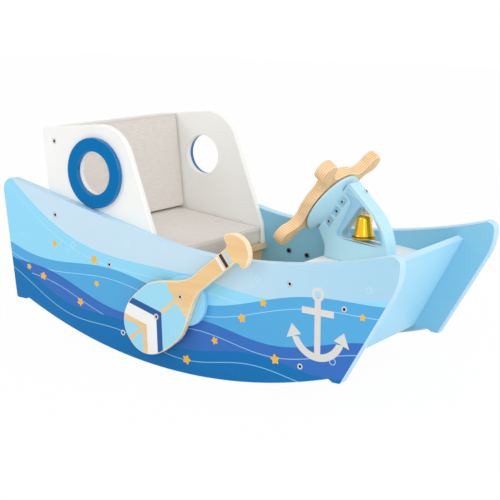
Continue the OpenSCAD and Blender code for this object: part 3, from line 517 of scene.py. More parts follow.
# %% [markdown]
# ## Wood
# Solid wood shows long streaks along its grain. A noise that is squeezed across the grain and
# stretched along it gives them, once coarse for the growth rings and once fine for the pores.
# Plywood is the same on its face, and its edge shows the veneers as even light and dark lines.

# %% Wooden finishes
VENEERS = 5


def stack(node):
    """The normal of a board's largest face, how far out that face is, and the thickness."""
    bm = merged_copy(node)
    normal = max(bm.faces, key=lambda face: face.calc_area()).normal.copy()
    heights = [vert.co.dot(normal) for vert in bm.verts]
    bm.free()
    return normal, max(heights), max(heights) - min(heights)


def wooden(name, light, dark, turn, board=None, bold=1.0):
    """Wood with its grain along X of the turned point, in veneers if a board is named."""
    finish = Finish(name, Coat_Weight=0.1, Coat_Roughness=0.3, Specular_IOR_Level=0.35)
    ring = finish.noise(1.0, 3, (5, 70, 55), turn)
    pore = finish.noise(1.0, 3, (45, 900, 900), turn)
    tint = finish.mix(light, dark, (ring - 0.28) * 1.25 + (pore - 0.5) * 0.45)
    if board:
        normal, top, thick = stack(board)
        height = finish.x * normal.x + finish.y * normal.y + finish.z * normal.z
        layer = ((height - top) * (tau * VENEERS / thick)).sin()
        tint = finish.mix(tint, dark, layer.over(0.2, 0.5) * (0.65 * bold))
        tint = finish.mix(tint, srgb(255, 242, 220), (layer * -1.0).over(0.6, 0.3) * (0.7 * bold))
    return finish.wear(tint, pore * 0.2 + 0.36, pore, 0.00006)


WHEEL_TILT = radians(54.5)
across = (0, 0, radians(90))
# The apron's beech is darker than the seat board's ply: partly its own wood, partly painted shade
# for its place under the seat
apron_wood = wooden("apron_beech", srgb(232, 186, 128), srgb(200, 148, 92), across)
wheel_wood = wooden(
    "wheel_ply", srgb(252, 212, 158), srgb(216, 160, 100), (0, WHEEL_TILT, 0), "wheel", 0.65
)
light, dark = srgb(240, 212, 166), srgb(204, 166, 116)
for node in ("seat_board", "floor_board"):
    rounded_board(node, [wooden("ply_" + node, light, dark, across, node)], 0.0012)
rounded_board("seat_apron", [apron_wood], 0.0015)
rounded_board("wheel", [wheel_wood], 0.0024, 4)
print("seat board, floor, apron and wheel")

# %% [markdown]
# ## Paddles
# A paddle is cut from a wooden board, and stripes are painted on its flat outer face only: the
# rim stays bare and a little paler. So the stripes are switched on by how far out a point lies,
# and drawn in the paddle's own directions, along the shaft and across it.

# %% Striped paddles
PADDLE_PIVOT = (0.025, 0.150)
PADDLE_SLOPE = radians(39)
PADDLE_FACE = 0.2073
LIGHT_WOOD = srgb(244, 208, 152)
DARK_WOOD = srgb(226, 178, 116)
LIGHT_BLUE = srgb(158, 220, 242)
NAVY = srgb(24, 32, 84)
ROYAL = srgb(6, 84, 154)
OFF_WHITE = srgb(244, 244, 242)

paddle_print = wooden("paddle_print", LIGHT_WOOD, DARK_WOOD, (0, PADDLE_SLOPE, 0))


def swung(x, z, angle):
    """Two coordinates measured along a slope and across it."""
    run, rise = cos(angle), sin(angle)
    return x * run + z * rise, z * run - x * rise


px, pz = paddle_print.x - PADDLE_PIVOT[0], paddle_print.z - PADDLE_PIVOT[1]
along, offset = swung(px, pz, PADDLE_SLOPE)
aside = abs(offset)
on_face = abs(paddle_print.y).over(PADDLE_FACE - 0.0003, 0.0002)
chevron = along + aside * 0.76
bare = Field(paddle_print, paddle_print.shader.inputs["Base Color"].links[0].from_socket)
stripe = bare
for colour, place in (
    (LIGHT_BLUE, (along - aside * 0.08).under(-0.0150)),
    (bare, aside.under(0.0034)),
    (ROYAL, chevron.within(-0.0728, -0.0570)),
    (OFF_WHITE, chevron.within(-0.1030, -0.0728)),
    (bare, chevron.within(-0.1160, -0.1030)),
    (bare, along.over(0.0)),
    (OFF_WHITE, along.within(0.1134, 0.1188)),
    (NAVY, along.within(0.1228, 0.1296)),
    (LIGHT_BLUE, along.within(0.1344, 0.1398)),
):
    stripe = paddle_print.mix(stripe, colour, place)
paddle_print.wear(paddle_print.mix(bare, stripe, on_face))
paddle_rim = wooden("paddle_rim", srgb(254, 234, 200), srgb(240, 204, 152), (0, PADDLE_SLOPE, 0))
for side, _ in SIDES:
    rounded_board(
        "paddle_" + side,
        [paddle_print, paddle_rim],
        width=0.0018,
        sides=lambda n: 0 if abs(n.y) > 0.9 else 1,
        rim=1,
    )
print("two paddles")

# %% [markdown]
# ## Moulded and turned parts
# The console is moulded plastic, so every edge of it is soft. A bevel has trouble where pockets,
# holes and a cone meet, so the solid is remeshed into small even faces and then smoothed a
# little: that rounds inner and outer edges alike. The porthole rings are turned parts: a profile
# swept round an axis, with rounded edges that catch the light.


# %% Plastic finishes
def moulded(name, colour, rough, coat, gleam=0.3, painted_shade_mask=None, painted_shade_colour=None, **sheen):
    """Moulded plastic or enamel, mixed towards a painted shade colour where the shade mask is 1.
    """
    sheen.setdefault("Coat_Roughness", 0.12)
    finish = Finish(name, Coat_Weight=coat, Specular_IOR_Level=gleam, **sheen)
    cloud, tint = finish.cloudy(colour, 0.97, 1.02, 14)
    # Painted shade: the colour is mixed towards a darker one where the mask is 1
    if painted_shade_mask:
        tint = finish.mix(tint, painted_shade_colour, painted_shade_mask(finish))
    return finish.wear(tint, cloud * 0.1 + (rough - 0.05), finish.noise(1500), 0.00002)


# %% Console and ring plastics
PITCH = radians(5.5)
CONSOLE_FOOT = (0.1826, 0.0, 0.2311)
BROW = Vector((0.0133, 0, 0.0138))
HOLLOW_R = 0.1105
HOLLOW_HALF = 0.0158
HOLLOW_FOOT = 0.0400
HOLLOW_BACK = -0.004
FLANGE_LEAN = radians(30)
FLANGE_LINE = -0.035
console_place = Matrix.Rotation(PITCH, 4, "Y") @ Matrix.Translation(CONSOLE_FOOT)
from_console = console_place.inverted()


def hollow(finish):
    """1 in the console's recess, screw pockets and window, where less light gets in: there the
    plastic is painted a deeper blue as painted shade.
    """
    x, z = swung(finish.x, finish.z, -PITCH)
    x, z = x - CONSOLE_FOOT[0], z - CONSOLE_FOOT[2]
    ahead, above = x - BROW.x, z - BROW.z
    inside = (ahead * ahead + above * above).root().under(HOLLOW_R, 0.0012)
    under_wheel = swung(x, z, -FLANGE_LEAN)[0].over(FLANGE_LINE, 0.002)
    sunk = abs(finish.y).under(HOLLOW_HALF, 0.0008)
    beside = z.over(HOLLOW_FOOT, 0.001) * x.over(HOLLOW_BACK, 0.001)
    return sunk * inside * under_wheel * beside


# The recess, screw pockets and window take a deeper blue: painted shade for the light they lose
CONSOLE_BLUE, RECESS_SHADE_BLUE = srgb(188, 228, 242), srgb(164, 210, 234)
sky_plastic = moulded("sky_plastic", CONSOLE_BLUE, 0.42, 0.1, painted_shade_mask=hollow, painted_shade_colour=RECESS_SHADE_BLUE)
ring_blue = moulded("ring_blue", srgb(0, 112, 176), 0.3, 0.06, 0.04)
nylon = moulded("nylon", srgb(232, 232, 228), 0.4, 0.0)
print("plastics for the console, the rings and small parts")

# %% A rounder brow
BROW_R = 0.115
BROW_START = radians(7.31)
BROW_STEP = radians(8.73)
BROW_FLATS = 5
LIFT_FROM = -0.005
LIFT_FADE = 0.003


def rounder(point):
    """Lifts the flats of the console's brow on to the arc that they stand for."""
    local = from_console @ point
    ray = Vector((local.x, 0, local.z)) - BROW
    flat, angle = divmod(atan2(ray.z, ray.x) - BROW_START, BROW_STEP)
    if not 0 <= flat < BROW_FLATS:
        return point
    lift = cos(angle - BROW_STEP / 2) / cos(BROW_STEP / 2) - 1
    share = min(1.0, max(0.0, (ray.length - BROW_R - LIFT_FROM) / LIFT_FADE))
    return console_place @ (local + ray * lift * share)


print("brow lifted by up to", round((BROW_R / cos(BROW_STEP / 2) - BROW_R) * 1000, 2), "mm")

# %% Console halves
CONSOLE_VOXEL = 0.0008
BAND_SLOPE = radians(39.05)
STAPLE_HOLE = Vector((0.0647, 0, 0.1176))
STOPPER = Vector((0.0044, 0.0022, 0.0040))


def made_plain(obj):
    """Replaces an object's mesh by what its modifiers make of it."""
    shape = obj.evaluated_get(bpy.context.evaluated_depsgraph_get())
    solid = bpy.data.meshes.new_from_object(shape)
    obj.modifiers.clear()
    obj.data = solid
    return solid


for side, sign in SIDES:
    node = "console_" + side
    bm = merged_copy(node)
    # A stopper closes the end of the staple's hole, which comes out in the front band
    place = Matrix.Translation(STAPLE_HOLE + Vector((0, sign * STOPPER.y / 2, 0)))
    turn = Matrix.Rotation(BAND_SLOPE, 4, "Y") @ Matrix.Diagonal(STOPPER.to_4d())
    bmesh.ops.create_cube(bm, size=1, matrix=console_place @ place @ turn)
    shell = add_object("fin_" + node, mesh_from(bm, node))
    remesh = assign(shell.modifiers.new("even_faces", "REMESH"), mode="VOXEL")
    assign(remesh, voxel_size=CONSOLE_VOXEL, use_smooth_shade=True)
    assign(shell.modifiers.new("soft_edges", "SMOOTH"), factor=0.5, iterations=5)
    solid = made_plain(shell)
    for vert in solid.vertices:
        vert.co = rounder(vert.co)
    stand_in(shell, node, [sky_plastic])
    print(node, len(solid.polygons), "faces")


# %% Turned parts
def even_angles(count):
    return [tau * k / count for k in range(count)]


def lathe(bm, loops):
    """A skin round Z over loops, each of them with a radius and a height for every angle."""
    angles = even_angles(len(loops[0]))
    rings = []
    for loop in loops:
        points = [(r * cos(a), r * sin(a), h) for (r, h), a in zip(loop, angles)]
        rings.append([bm.verts.new(point) for point in points])
    for lower, upper in zip(rings, rings[1:]):
        for k in range(len(angles)):
            bm.faces.new((lower[k - 1], lower[k], upper[k], upper[k - 1]))
    return rings


def closed_mesh(bm, name):
    bmesh.ops.remove_doubles(bm, verts=bm.verts[:], dist=1e-7)
    bmesh.ops.recalc_face_normals(bm, faces=bm.faces[:])
    mesh = mesh_from(bm, name)
    smooth_shaded(mesh)
    return mesh


def turned(name, profile, centre, axis, count=96):
    """A closed profile of radius and height, swept round an axis through the centre."""
    bm = bmesh.new()
    lathe(bm, [[point] * count for point in profile + profile[:1]])
    mesh = closed_mesh(bm, name)
    turn = Vector(axis).to_track_quat("Z", "Y").to_matrix().to_4x4()
    mesh.transform(Matrix.Translation(centre) @ turn)
    return mesh


def rounded_corner(centre, radius, start, end, steps=5):
    angles = [radians(start + (end - start) * k / steps) for k in range(steps + 1)]
    return [(centre[0] + radius * cos(a), centre[1] + radius * sin(a)) for a in angles]


# %% Porthole rings
RING_EDGE = 0.0014
RING_IN = 0.041
low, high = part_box("porthole_ring_right")
ring_at = (low + high) / 2
ring_out = (high.x - low.x) / 2
run_x, run_z = ring_blue.x - ring_at.x, ring_blue.z - ring_at.z
radius = (run_x * run_x + run_z * run_z).root()
middle = (ring_out + RING_IN) / 2
rim = abs(radius - middle).over(ring_out - middle - RING_EDGE, 0.0004)
ring_blue.wear(coat=rim * 0.8 + 0.05)
for side, sign in SIDES:
    node = "porthole_ring_" + side
    low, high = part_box(node)
    top = high.y - low.y - RING_EDGE
    profile = [(RING_IN, 0), (ring_out, 0)]
    profile += rounded_corner((ring_out - RING_EDGE, top), RING_EDGE, 0, 90)
    profile += rounded_corner((RING_IN + RING_EDGE, top), RING_EDGE, 90, 180)
    foot = Vector((ring_at.x, high.y if sign < 0 else low.y, ring_at.z))
    ring = add_object("fin_" + node, turned(node, profile, foot, (0, sign, 0)))
    stand_in(ring, node, [ring_blue])
print("two porthole rings, outer radius", round(ring_out, 4))

# %% [markdown]
# ## Metal
# Zinc plating is never one even grey: it is cloudy, and its roughness changes with the clouds. A
# socket in a bolt's head lies in shade, so a number stored on the mesh marks where it is and the
# plating is painted near black there, as painted shade. The bell's enamel is glossy and lets some
# metal through, so it is set partly metallic under a hard clear coat.


# %% Metal finishes
def plated(name, colour, rough):
    finish = Finish(name, Metallic=1.0)
    cloud, tint = finish.cloudy(colour, 0.82, 1.0, 260, 4)
    # The socket, deep in the head, is painted near black: painted shade
    socket = finish.node("Attribute", out=2, attribute_name="socket")
    tint = finish.mix(tint, srgb(18, 18, 22), socket)
    return finish.wear(tint, cloud * 0.2 + (rough - 0.1), finish.noise(2400), 0.00001)


bright_steel = plated("bright_steel", srgb(222, 224, 227), 0.34)
# A darker, bluer copy of the bright plating: painted shade for the disc bolts inside the hull
shade_painted_steel = plated("shade_painted_steel", srgb(112, 124, 134), 0.34)
dark_steel = plated("dark_steel", srgb(70, 72, 78), 0.38)
print("bright, shaded and dark plating")

# %% Small metal and nylon parts
HEADS = ("hull_bolts", "disc_bolts", "wing_screws")
HEADS += ("paddle_pivot", "paddle_screw", "console_screws")
LEG_END = 0.002
LEG_CUT = 0.005
metal = {"bright_steel": bright_steel, "dark_steel": dark_steel, "nylon": nylon}
small = [n for n in nodes if slot_of(n) in metal and not n.startswith(HEADS)]
for node in small:
    rounded_board(node, [metal[slot_of(node)]], 0.0006, hole_width=0.0006)
# The staple's legs are cut short inside the console: one would come out in its front band
staple = bpy.data.objects["fin_bell_staple"].data.vertices
leg_top = max(vert.co.z for vert in staple)
for vert in staple:
    if vert.co.z > leg_top - LEG_END:
        vert.co.z -= LEG_CUT
print(len(small), "small metal and nylon nodes")

# %% Bell
FLARE_UP = 0.0042
FLARE_HALF = 0.0012
bell_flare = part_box("bell")[0].z + FLARE_UP


def flare_shade_mask(finish):
    """1 in a line just above the bell's lip, where the enamel is painted dark amber: painted shade
    under the flare.
    """
    return abs(finish.z - bell_flare).under(FLARE_HALF, 0.0009)


# The dark amber line above the bell's lip is painted shade under its flare
YELLOW, FLARE_SHADE_AMBER = srgb(255, 190, 16), srgb(120, 60, 0)
bell_enamel = moulded(
    "bell_enamel", YELLOW, 0.2, 0.5, 0.3, flare_shade_mask, FLARE_SHADE_AMBER, Coat_Roughness=0.03, Metallic=0.7
)
rounded_board("bell", [bell_enamel], 0.0005, hole_width=0.0003)
print("bell, darker at", round(bell_flare, 4), "m")

# %% [markdown]
# ## Copies and cords by Geometry Nodes
# Bolts, stitches and printed stars are each one shape many times over. Rather than copy objects,
# a node tree sets an instance on every point of a mesh, turned and sized by numbers stored on
# the points. A second tree sweeps a circle along edges, for cords and beads. Instances are lost
# on export, so both trees end by making plain mesh of them.


# %% Node groups
def new_group(name, inputs):
    """An empty tree with a geometry result, and its inputs as fields."""
    group = bpy.data.node_groups.new(name, "GeometryNodeTree")
    for label, kind in inputs.items():
        group.interface.new_socket(label, in_out="INPUT", socket_type="NodeSocket" + kind)
    group.interface.new_socket("Result", in_out="OUTPUT", socket_type="NodeSocketGeometry")
    tree = Tree(group)
    given = group.nodes.new("NodeGroupInput").outputs
    return tree, [Field(tree, given[label]) for label in inputs]


def close_group(tree, shape, finish):
    plain = tree.node("RealizeInstances", [shape])
    values = {"Geometry": plain, "Material": finish.material}
    tree.node("NodeGroupOutput", [tree.node("SetMaterial", values)])


def run_group(name, mesh, tree, settings=None):
    """Runs a tree on a mesh and keeps the result as a plain object."""
    obj = add_object(name, mesh)
    step = assign(obj.modifiers.new("grown", "NODES"), node_group=tree.tree)
    keys = {item.name: item.identifier for item in tree.tree.interface.items_tree}
    for label, value in (settings or {}).items():
        step[keys[label]] = value
    made_plain(obj)
    smooth_shaded(obj.data)
    return obj


# %% Copies on points
def spread(name, rows, piece, finish):
    """Copies of an object at rows of place, turn and size."""
    mesh = bpy.data.meshes.new(name)
    mesh.from_pydata([row[0] for row in rows], [], [])
    for label, kind in (("turn", "FLOAT_VECTOR"), ("size", "FLOAT")):
        mesh.attributes.new(label, kind, "POINT")
    for k, (_, turn, size) in enumerate(rows):
        mesh.attributes["turn"].data[k].vector = turn
        mesh.attributes["size"].data[k].value = size
    tree, (points, shape) = new_group(name + "_tree", {"Points": "Geometry", "Piece": "Object"})
    copy = tree.node("ObjectInfo", {"Object": shape, "As Instance": True}, out=4)
    turn = tree.node("InputNamedAttribute", ["turn"], data_type="FLOAT_VECTOR")
    size = tree.node("InputNamedAttribute", ["size"], data_type="FLOAT")
    values = {"Points": points, "Instance": copy, "Scale": size}
    values["Rotation"] = tree.node("FunctionNodeEulerToRotation", [turn])
    close_group(tree, tree.node("InstanceOnPoints", values), finish)
    return run_group(name, mesh, tree, {"Piece": piece})


# %% Cords along edges
def cords(name, runs, radius, finish):
    """A round cord along runs of points; a run is closed if it ends where it began."""
    points, edges = [], []
    for run in runs:
        first = len(points)
        closed = run[0] == run[-1]
        points += run[:-1] if closed else run
        edges += [(k, k + 1) for k in range(first, len(points) - 1)]
        if closed:
            edges.append((len(points) - 1, first))
    mesh = bpy.data.meshes.new(name)
    mesh.from_pydata(points, edges, [])
    tree, (line,) = new_group(name + "_tree", {"Line": "Geometry"})
    curve = tree.node("MeshToCurve", {"Mesh": line})
    ring = tree.node("CurvePrimitiveCircle", {"Resolution": 10, "Radius": radius})
    values = {"Curve": curve, "Profile Curve": ring, "Fill Caps": True}
    close_group(tree, tree.node("CurveToMesh", values), finish)
    return run_group(name, mesh, tree)


print("trees for copies and cords")

# %% [markdown]
# ## Bolts and screws
# One head is modelled, with a rounded rim and a hexagon socket. Where the copies go is read from
# the CAD solids: every solid of a node is one bolt, and its end that faces outwards is its head.

# %% One bolt
BOLT_HEAD = 0.00525
BOLT_DEEP = 0.003
SOCKET = 0.0027
SOCKET_DEEP = 0.0022
HEAD_EDGE = 0.0007
SOCKET_EDGE = 0.0003
SHANK = 0.0018
SHANK_DEEP = 0.006


def bolt_mesh(count=36):
    """A bolt along Z with the top of its head at the origin."""
    sixth = pi / 3
    flats = [cos(a % sixth - sixth / 2) for a in even_angles(count)]
    hexagon = [SOCKET * cos(sixth / 2) / flat for flat in flats]
    loops = [[(0.0, -SOCKET_DEEP)] * count]
    loops += [[(r, h) for r in hexagon] for h in (-SOCKET_DEEP, -SOCKET_EDGE)]
    loops.append([(r + SOCKET_EDGE, 0) for r in hexagon])
    profile = rounded_corner((BOLT_HEAD - HEAD_EDGE, -HEAD_EDGE), HEAD_EDGE, 90, 0, 4)
    profile += [(BOLT_HEAD, -BOLT_DEEP), (SHANK, -BOLT_DEEP)]
    profile += [(SHANK, -SHANK_DEEP), (0.0, -SHANK_DEEP)]
    loops += [[point] * count for point in profile]
    bm = bmesh.new()
    # The socket's rings are marked so that the plating is painted near black there, as painted
    # shade
    dark = bm.verts.layers.float.new("socket")
    for ring in lathe(bm, loops)[:3]:
        for vert in ring:
            vert[dark] = 1.0
    return closed_mesh(bm, "bolt")


bolt = add_object("bolt_pattern", bolt_mesh())
print("bolt head", BOLT_HEAD * 2000, "mm wide")

# %% Heads read from the solids
starboard, port = Vector((0, -1, 0)), Vector((0, 1, 0))


def span(points, way):
    along = [point.dot(way) for point in points]
    return max(along) - min(along)


def head_rows(node, ways, size):
    """Place, turn and size of each head: it faces the way along which its bolt is longest."""
    bm = merged_copy(node)
    rows = []
    for solid in clusters(set(bm.verts), lambda v: {edge.other_vert(v) for edge in v.link_edges}):
        points = [vert.co.copy() for vert in solid]
        outward = [port if points[0].y > 0 else starboard]
        way = max(ways or outward, key=lambda direction: span(points, direction))
        end = max(point.dot(way) for point in points)
        top = [point for point in points if point.dot(way) > end - 1e-5]
        rows.append((sum(top, Vector()) / len(top), way.to_track_quat("Z", "Y").to_euler(), size))
    bm.free()
    return rows


# %% Heads in place
FRONT_SCREW = BAND_SLOPE + PITCH
forward = Vector((sin(FRONT_SCREW), 0, cos(FRONT_SCREW)))
sets = {"wing_screws": (None, 1.0), "console_screws": ([starboard, forward], 0.76)}
for side, out in (("right", starboard), ("left", port)):
    sets["hull_bolts_" + side] = ([out], 1.0)
    sets["disc_bolts_" + side] = ([-out], 1.0)
    sets["paddle_pivot_" + side] = ([out], 0.95)
    sets["paddle_screw_" + side] = ([out], 0.95)
for node, (ways, size) in sets.items():
    rows = head_rows(node, ways, size)
    # Disc bolt heads take the darker copy of the plating: painted shade
    steel = shade_painted_steel if node.startswith("disc_bolts") else bright_steel
    stand_in(spread("fin_" + node, rows, bolt, steel), node)
    print(node, len(rows), "heads")
bpy.data.objects.remove(bolt)

# %% [markdown]
# ## Console bead
# A fine bead runs round the shallow recess of each console half. It is a cord along the recess's
# edge. Each corner of that edge has its own rounding, so its arc is worked out here; the places
# are measured in millimetres from the foot of the console.

# %% Beads
CONSOLE_HALF = 0.0170
BEAD_R = 0.0010
RECESS = [(17, 43.5, 6), (118, 43.5, 6), (112, 76, 55), (37, 135, 4), (30, 124, 8), (43, 108, 10)]


def eased(corners, steps=8):
    """The corners (x, z, radius) of a closed outline as points on their arcs."""
    for k, (x, z, radius) in enumerate(corners):
        corner, after = Vector((x, z)), corners[(k + 1) % len(corners)]
        back = (Vector(corners[k - 1][:2]) - corner).normalized()
        ahead = (Vector(after[:2]) - corner).normalized()
        half = back.angle(ahead) / 2
        middle = corner + (back + ahead).normalized() * (radius / sin(half))
        start, end = [corner + way * (radius / tan(half)) - middle for way in (back, ahead)]
        for step in range(steps + 1):
            yield middle + start.lerp(end, step / steps).normalized() * radius


for side, sign in SIDES:
    run = [console_place @ (Vector((p.x, 0, p.y)) / 1000) for p in eased(RECESS)]
    run = [point + Vector((0, sign * CONSOLE_HALF, 0)) for point in run]
    add_on(cords("bead_" + side, [run + run[:1]], BEAD_R, sky_plastic))
print("a bead on each half")

# %% [markdown]
# ## Printed stars and bubbles
# Small yellow starfish and pale bubbles are strewn over the waves. The star is drawn by nodes: a
# star curve with rounded corners, filled and lifted by a tenth of a millimetre like thick ink.
# Random places could collide with bolts, so each place is chosen: how far along the boat, over
# which wave, and how far above or below it. Turns and sizes go round in steps.

# %% One star and one bubble
star_ink = painted("star_ink", srgb(246, 186, 46), 0.5, 0.0)
bubble_ink = painted("bubble_ink", srgb(206, 240, 255), 0.5, 0.0)
INK = 0.0001
BUBBLE_R = 0.005
BUBBLE_LINE = 0.0006
tree, _ = new_group("star_tree", {"Start": "Geometry"})
values = {"Points": 5, "Inner Radius": 0.0050, "Outer Radius": 0.0115}
curve = tree.node("CurveStar", values)
values = {"Curve": curve, "Count": 5, "Radius": 0.0018, "Limit Radius": True}
curve = tree.node("FilletCurve", values, mode="POLY")
face = tree.node("FillCurve", {"Curve": curve})
values = {"Mesh": face, "Offset Scale": INK, "Individual": False}
close_group(tree, tree.node("ExtrudeMesh", values), star_ink)
star = run_group("star_pattern", bpy.data.meshes.new("star"), tree)
ring = [Vector((BUBBLE_R * cos(a), BUBBLE_R * sin(a), 0)) for a in even_angles(28)]
bubble = cords("bubble_pattern", [ring + ring[:1]], BUBBLE_LINE, bubble_ink)
print("star", len(star.data.polygons), "faces")

# %% Stars and bubbles in place
HULL_HALF = 0.185
STARS = [(-0.385, 1, -0.030), (-0.31, 0, -0.040), (-0.245, 2, -0.026), (-0.205, 0, -0.020)]
STARS += [(-0.20, 1, -0.036), (0.085, 2, -0.030), (0.145, 1, -0.026), (0.215, 2, -0.024)]
STARS += [(0.385, 1, -0.022), (0.19, 0, -0.008), (-0.345, 2, -0.018), (0.02, 3, -0.020)]
BUBBLES = [(-0.40, 1, 0.030), (-0.275, 1, 0.022), (-0.26, 1, 0.036), (-0.12, 0, 0.030)]
BUBBLES += [(0.165, 0, 0.018), (0.178, 0, 0.032), (0.395, 1, 0.024), (0.33, 3, 0.030)]


def strewn(places, sign, depth):
    """Rows for copies over the waves: an even mix of turns and sizes."""
    out = Matrix.Rotation(radians(-90 * sign), 4, "X")
    for k, (x, wave, up) in enumerate(places):
        height = wave_height(x, waves[wave]) + up
        turn = out @ Matrix.Rotation(k * 2.4, 4, "Z")
        place = Vector((x, sign * (HULL_HALF - depth), height))
        yield place, turn.to_euler(), 0.75 + 0.12 * (k % 4)


for side, sign in SIDES:
    for name, places, piece, finish, depth in (
        ("stars_", STARS, star, star_ink, 0.0),
        ("bubbles_", BUBBLES, bubble, bubble_ink, 0.0004),
    ):
        rows = list(strewn(places, sign, depth))
        add_on(spread(name + side, rows, piece, finish))
for pattern in (star, bubble):
    bpy.data.objects.remove(pattern)
print(len(STARS), "stars and", len(BUBBLES), "bubbles a side")

# %% [markdown]
# ## Cushions
# A cushion is a sewn cover over foam: its faces swell and its sides draw in between the seams. It
# could be sculpted, but a short cloth simulation with a little pressure inside gives the
# swell for free. The form starts slightly small, how far a point may move is capped, and the
# result is kept off the boards around it.

# %% Linen
linen = Finish("linen", Roughness=0.9, Sheen_Weight=0.25, Sheen_Roughness=0.6)
THREAD = 0.0011
CORD_TWIST = 0.002
warp, weft, rise = [(axis * (tau / THREAD)).sin() for axis in (linen.x, linen.y, linen.z)]
weave = warp * weft + weft * rise + rise * warp
slub = linen.noise(1.0, 3, (60, 900, 300)) + linen.noise(1.0, 3, (900, 60, 900))
cloth_tint = linen.mix(srgb(213, 205, 198), srgb(246, 240, 234), slub * 0.9 - 0.4)
cloth_tint = linen.mix(cloth_tint, srgb(188, 179, 170), weave.over(0.2, 0.6) * 0.2)
linen.wear(cloth_tint, None, weave * 0.35 + slub, 0.0002)
seam_linen = Finish("seam_linen", Roughness=0.92)
twist = (seam_linen.x + seam_linen.y + seam_linen.z) * (tau / CORD_TWIST)
seam_tint = seam_linen.mix(srgb(206, 198, 189), srgb(236, 229, 221), twist.sin().over(0.0, 0.8))
seam_linen.wear(seam_tint, None, twist.sin(), 0.0001)
print("linen weave of", THREAD * 1000, "mm")


# %% Simulated filling
def swell(cover, sewn):
    """Blows the cover up between its seams: 20 frames of cloth with pressure and no gravity."""
    cover.vertex_groups.new(name="sewn").add(sewn, 1.0, "REPLACE")
    cloth = cover.modifiers.new("filling", "CLOTH")
    settings = assign(cloth.settings, quality=6, mass=0.25)
    assign(settings, tension_stiffness=25, compression_stiffness=25)
    assign(settings, shear_stiffness=12, bending_stiffness=3)
    assign(settings, use_pressure=True, uniform_pressure_force=4)
    settings.effector_weights.gravity = 0
    settings.vertex_group_mass = "sewn"
    cloth.collision_settings.use_collision = False
    for step in range(1, 21):
        scene.frame_set(step)
    shape = cover.evaluated_get(bpy.context.evaluated_depsgraph_get())
    places = [vert.co.copy() for vert in shape.data.vertices]
    cover.modifiers.clear()
    cover.vertex_groups.clear()
    scene.frame_set(1)
    return places


# %% From the solid to the cover
VOXEL = 0.0035
SHRINK = 0.0006
SEAM_WIDE = 0.007
PUFF = 0.0024


def extent(points):
    """Lowest and highest corner of some points."""
    return [Vector([pick(p[k] for p in points) for k in range(3)]) for pick in (min, max)]


def near_seam(point, low, high):
    """How far a point is from the second nearest wall of its box: seams run where two meet."""
    gaps = [abs(v - wall) for walls in (low, high) for v, wall in zip(point, walls)]
    return sorted(gaps)[1]


def plumped(node, place, low, high):
    """The cover of a CAD cushion after the simulation, kept between the boards around it."""
    bm = merged_copy(node)
    bmesh.ops.triangulate(bm, faces=bm.faces[:])
    bm.normal_update()
    for vert in bm.verts:
        vert.co -= vert.normal * SHRINK
    cover = add_object("fin_" + node, mesh_from(bm, node))
    cover.data.remesh_voxel_size = VOXEL
    bpy.context.view_layer.objects.active = cover
    bpy.ops.object.voxel_remesh()
    start = [vert.co.copy() for vert in cover.data.vertices]
    local = [place.inverted() @ point for point in start]
    walls = extent(local)
    sewn = [k for k, point in enumerate(local) if near_seam(point, *walls) < SEAM_WIDE]
    moved = swell(cover, sewn)
    most = max((b - a).length for a, b in zip(start, moved))
    share = min(1.0, PUFF / max(most, 1e-9))
    for vert, first, last in zip(cover.data.vertices, start, moved):
        point = place.inverted() @ first.lerp(last, share)
        vert.co = place @ Vector([min(max(v, a), b) for v, a, b in zip(point, low, high)])
    print(node, "moved by", round(most * 1000, 2), "mm, kept", round(share, 2))
    return cover


# %% Two cushions
BACK_LEAN = radians(-11)
level = Matrix.Rotation(PITCH, 4, "Y")
lean = Matrix.Rotation(BACK_LEAN, 4, "Y")
back_frame = level @ Matrix.Translation((-0.311, 0, 0.1662)) @ lean
# Frame of each cushion, limits in that frame, and the axis that its face looks along
cushions = {
    "seat_cushion": (level, (-0.3106, -0.1548, 0.1664), (-0.0760, 0.1548, 0.2062), 2),
    "back_cushion": (back_frame, (0.0002, -0.1548, 0.0305), (0.0425, 0.1548, 0.2340), 0),
}
covers = {}
for node, (place, low, high, _) in cushions.items():
    cover = plumped(node, place, low, high)
    smooth_shaded(cover.data, 60)
    stand_in(cover, node, [linen])
    covers[node] = cover
    print(node, len(cover.data.polygons), "faces")

# %% [markdown]
# ## Seams
# Both covers are sewn from a top, a bottom and a band between them. The seams run where those
# meet, so their lines are worked out as rounded rectangles in the cushion's own directions and
# then laid on the simulated cover: each point moves to the nearest place on it. A cord follows
# every seam, and a row of stitches runs beside the one round the face.

# %% Lines on a cover
CORNER = 0.006
CORNER_STEPS = 6


def evenly(run, step):
    """A run of points cut into even steps."""
    ways = [b - a for a, b in zip(run, run[1:])]
    total = sum(way.length for way in ways)
    count = max(2, round(total / step))
    points, done, k = [], 0.0, 0
    for n in range(count):
        goal = total * n / count
        while done + ways[k].length < goal:
            done += ways[k].length
            k += 1
        points.append(run[k] + ways[k] * ((goal - done) / ways[k].length))
    return points + [run[-1]]


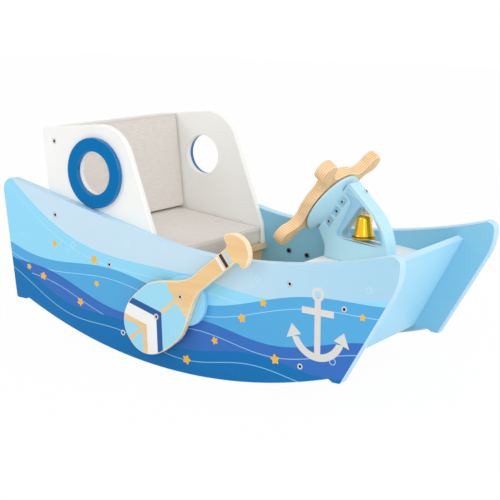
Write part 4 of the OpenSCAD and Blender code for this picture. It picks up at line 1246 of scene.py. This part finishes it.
def edge_loop(low, high, axis, height, inset):
    """A rounded rectangle round a box at one height of the given axis."""
    first, second = [k for k in range(3) if k != axis]
    half = (high - low) / 2 - Vector((1, 1, 1)) * (inset + CORNER)
    middle = (low + high) / 2
    run = []
    for k, (one, two) in enumerate(((1, 1), (-1, 1), (-1, -1), (1, -1))):
        centre = (one * half[first], two * half[second])
        for p, q in rounded_corner(centre, CORNER, 90 * k, 90 * k + 90, CORNER_STEPS):
            point = middle.copy()
            point[axis] = height
            point[first] += p
            point[second] += q
            run.append(point)
    return run + run[:1]


# %% Seams and stitches
SEAM_R = 0.0009
SEAM_LIFT = 0.0002
BAND_HALF = 0.012
STITCH = 0.005
STITCH_IN = 0.0055
STITCH_SHAPE = Matrix.Diagonal((0.0016, 0.0005, 0.0003, 1))
bm = bmesh.new()
bmesh.ops.create_icosphere(bm, subdivisions=2, radius=1, matrix=STITCH_SHAPE)
stitch = add_object("stitch_pattern", mesh_from(bm, "stitch"))
for node, (place, _, _, axis) in cushions.items():
    cover = covers[node]
    spots = [vert.co for vert in cover.data.vertices]
    skin = BVHTree.FromPolygons(spots, [face.vertices for face in cover.data.polygons])
    points = [place.inverted() @ spot for spot in spots]
    middle = sum(extent(points), Vector())[axis] / 2
    face = extent([p for p in points if p[axis] > middle + BAND_HALF])
    foot = extent([p for p in points if p[axis] < middle - BAND_HALF])

    def laid(run):
        spots = [skin.find_nearest(place @ point) for point in run]
        return [spot + normal * SEAM_LIFT for spot, normal, _, _ in spots]

    upper = edge_loop(*face, axis, face[1][axis], 0.0)
    lower = edge_loop(*foot, axis, foot[0][axis], 0.0)
    runs = [laid(evenly(loop, 0.006)) for loop in (upper, lower)]
    runs = [run[:-1] + run[:1] for run in runs]
    for k in range(CORNER_STEPS // 2, len(upper), CORNER_STEPS + 1):
        runs.append(laid(evenly([upper[k], lower[k]], 0.004)))
    seam = cords("seam_" + node, runs, SEAM_R, seam_linen)
    line = evenly(edge_loop(*face, axis, face[1][axis], STITCH_IN), STITCH)
    rows = []
    for a, b in zip(line, line[1:]):
        spot, normal, _, _ = skin.find_nearest(place @ ((a + b) / 2))
        along = (place.to_3x3() @ (b - a)).normalized()
        turn = Matrix((along, normal.cross(along), normal)).transposed().to_euler()
        rows.append((spot, turn, 1.0))
    thread = spread("stitches_" + node, rows, stitch, seam_linen)
    for piece in (seam, thread):
        add_on(piece)
    print(node, len(runs), "seams and", len(rows), "stitches")
bpy.data.objects.remove(stitch)
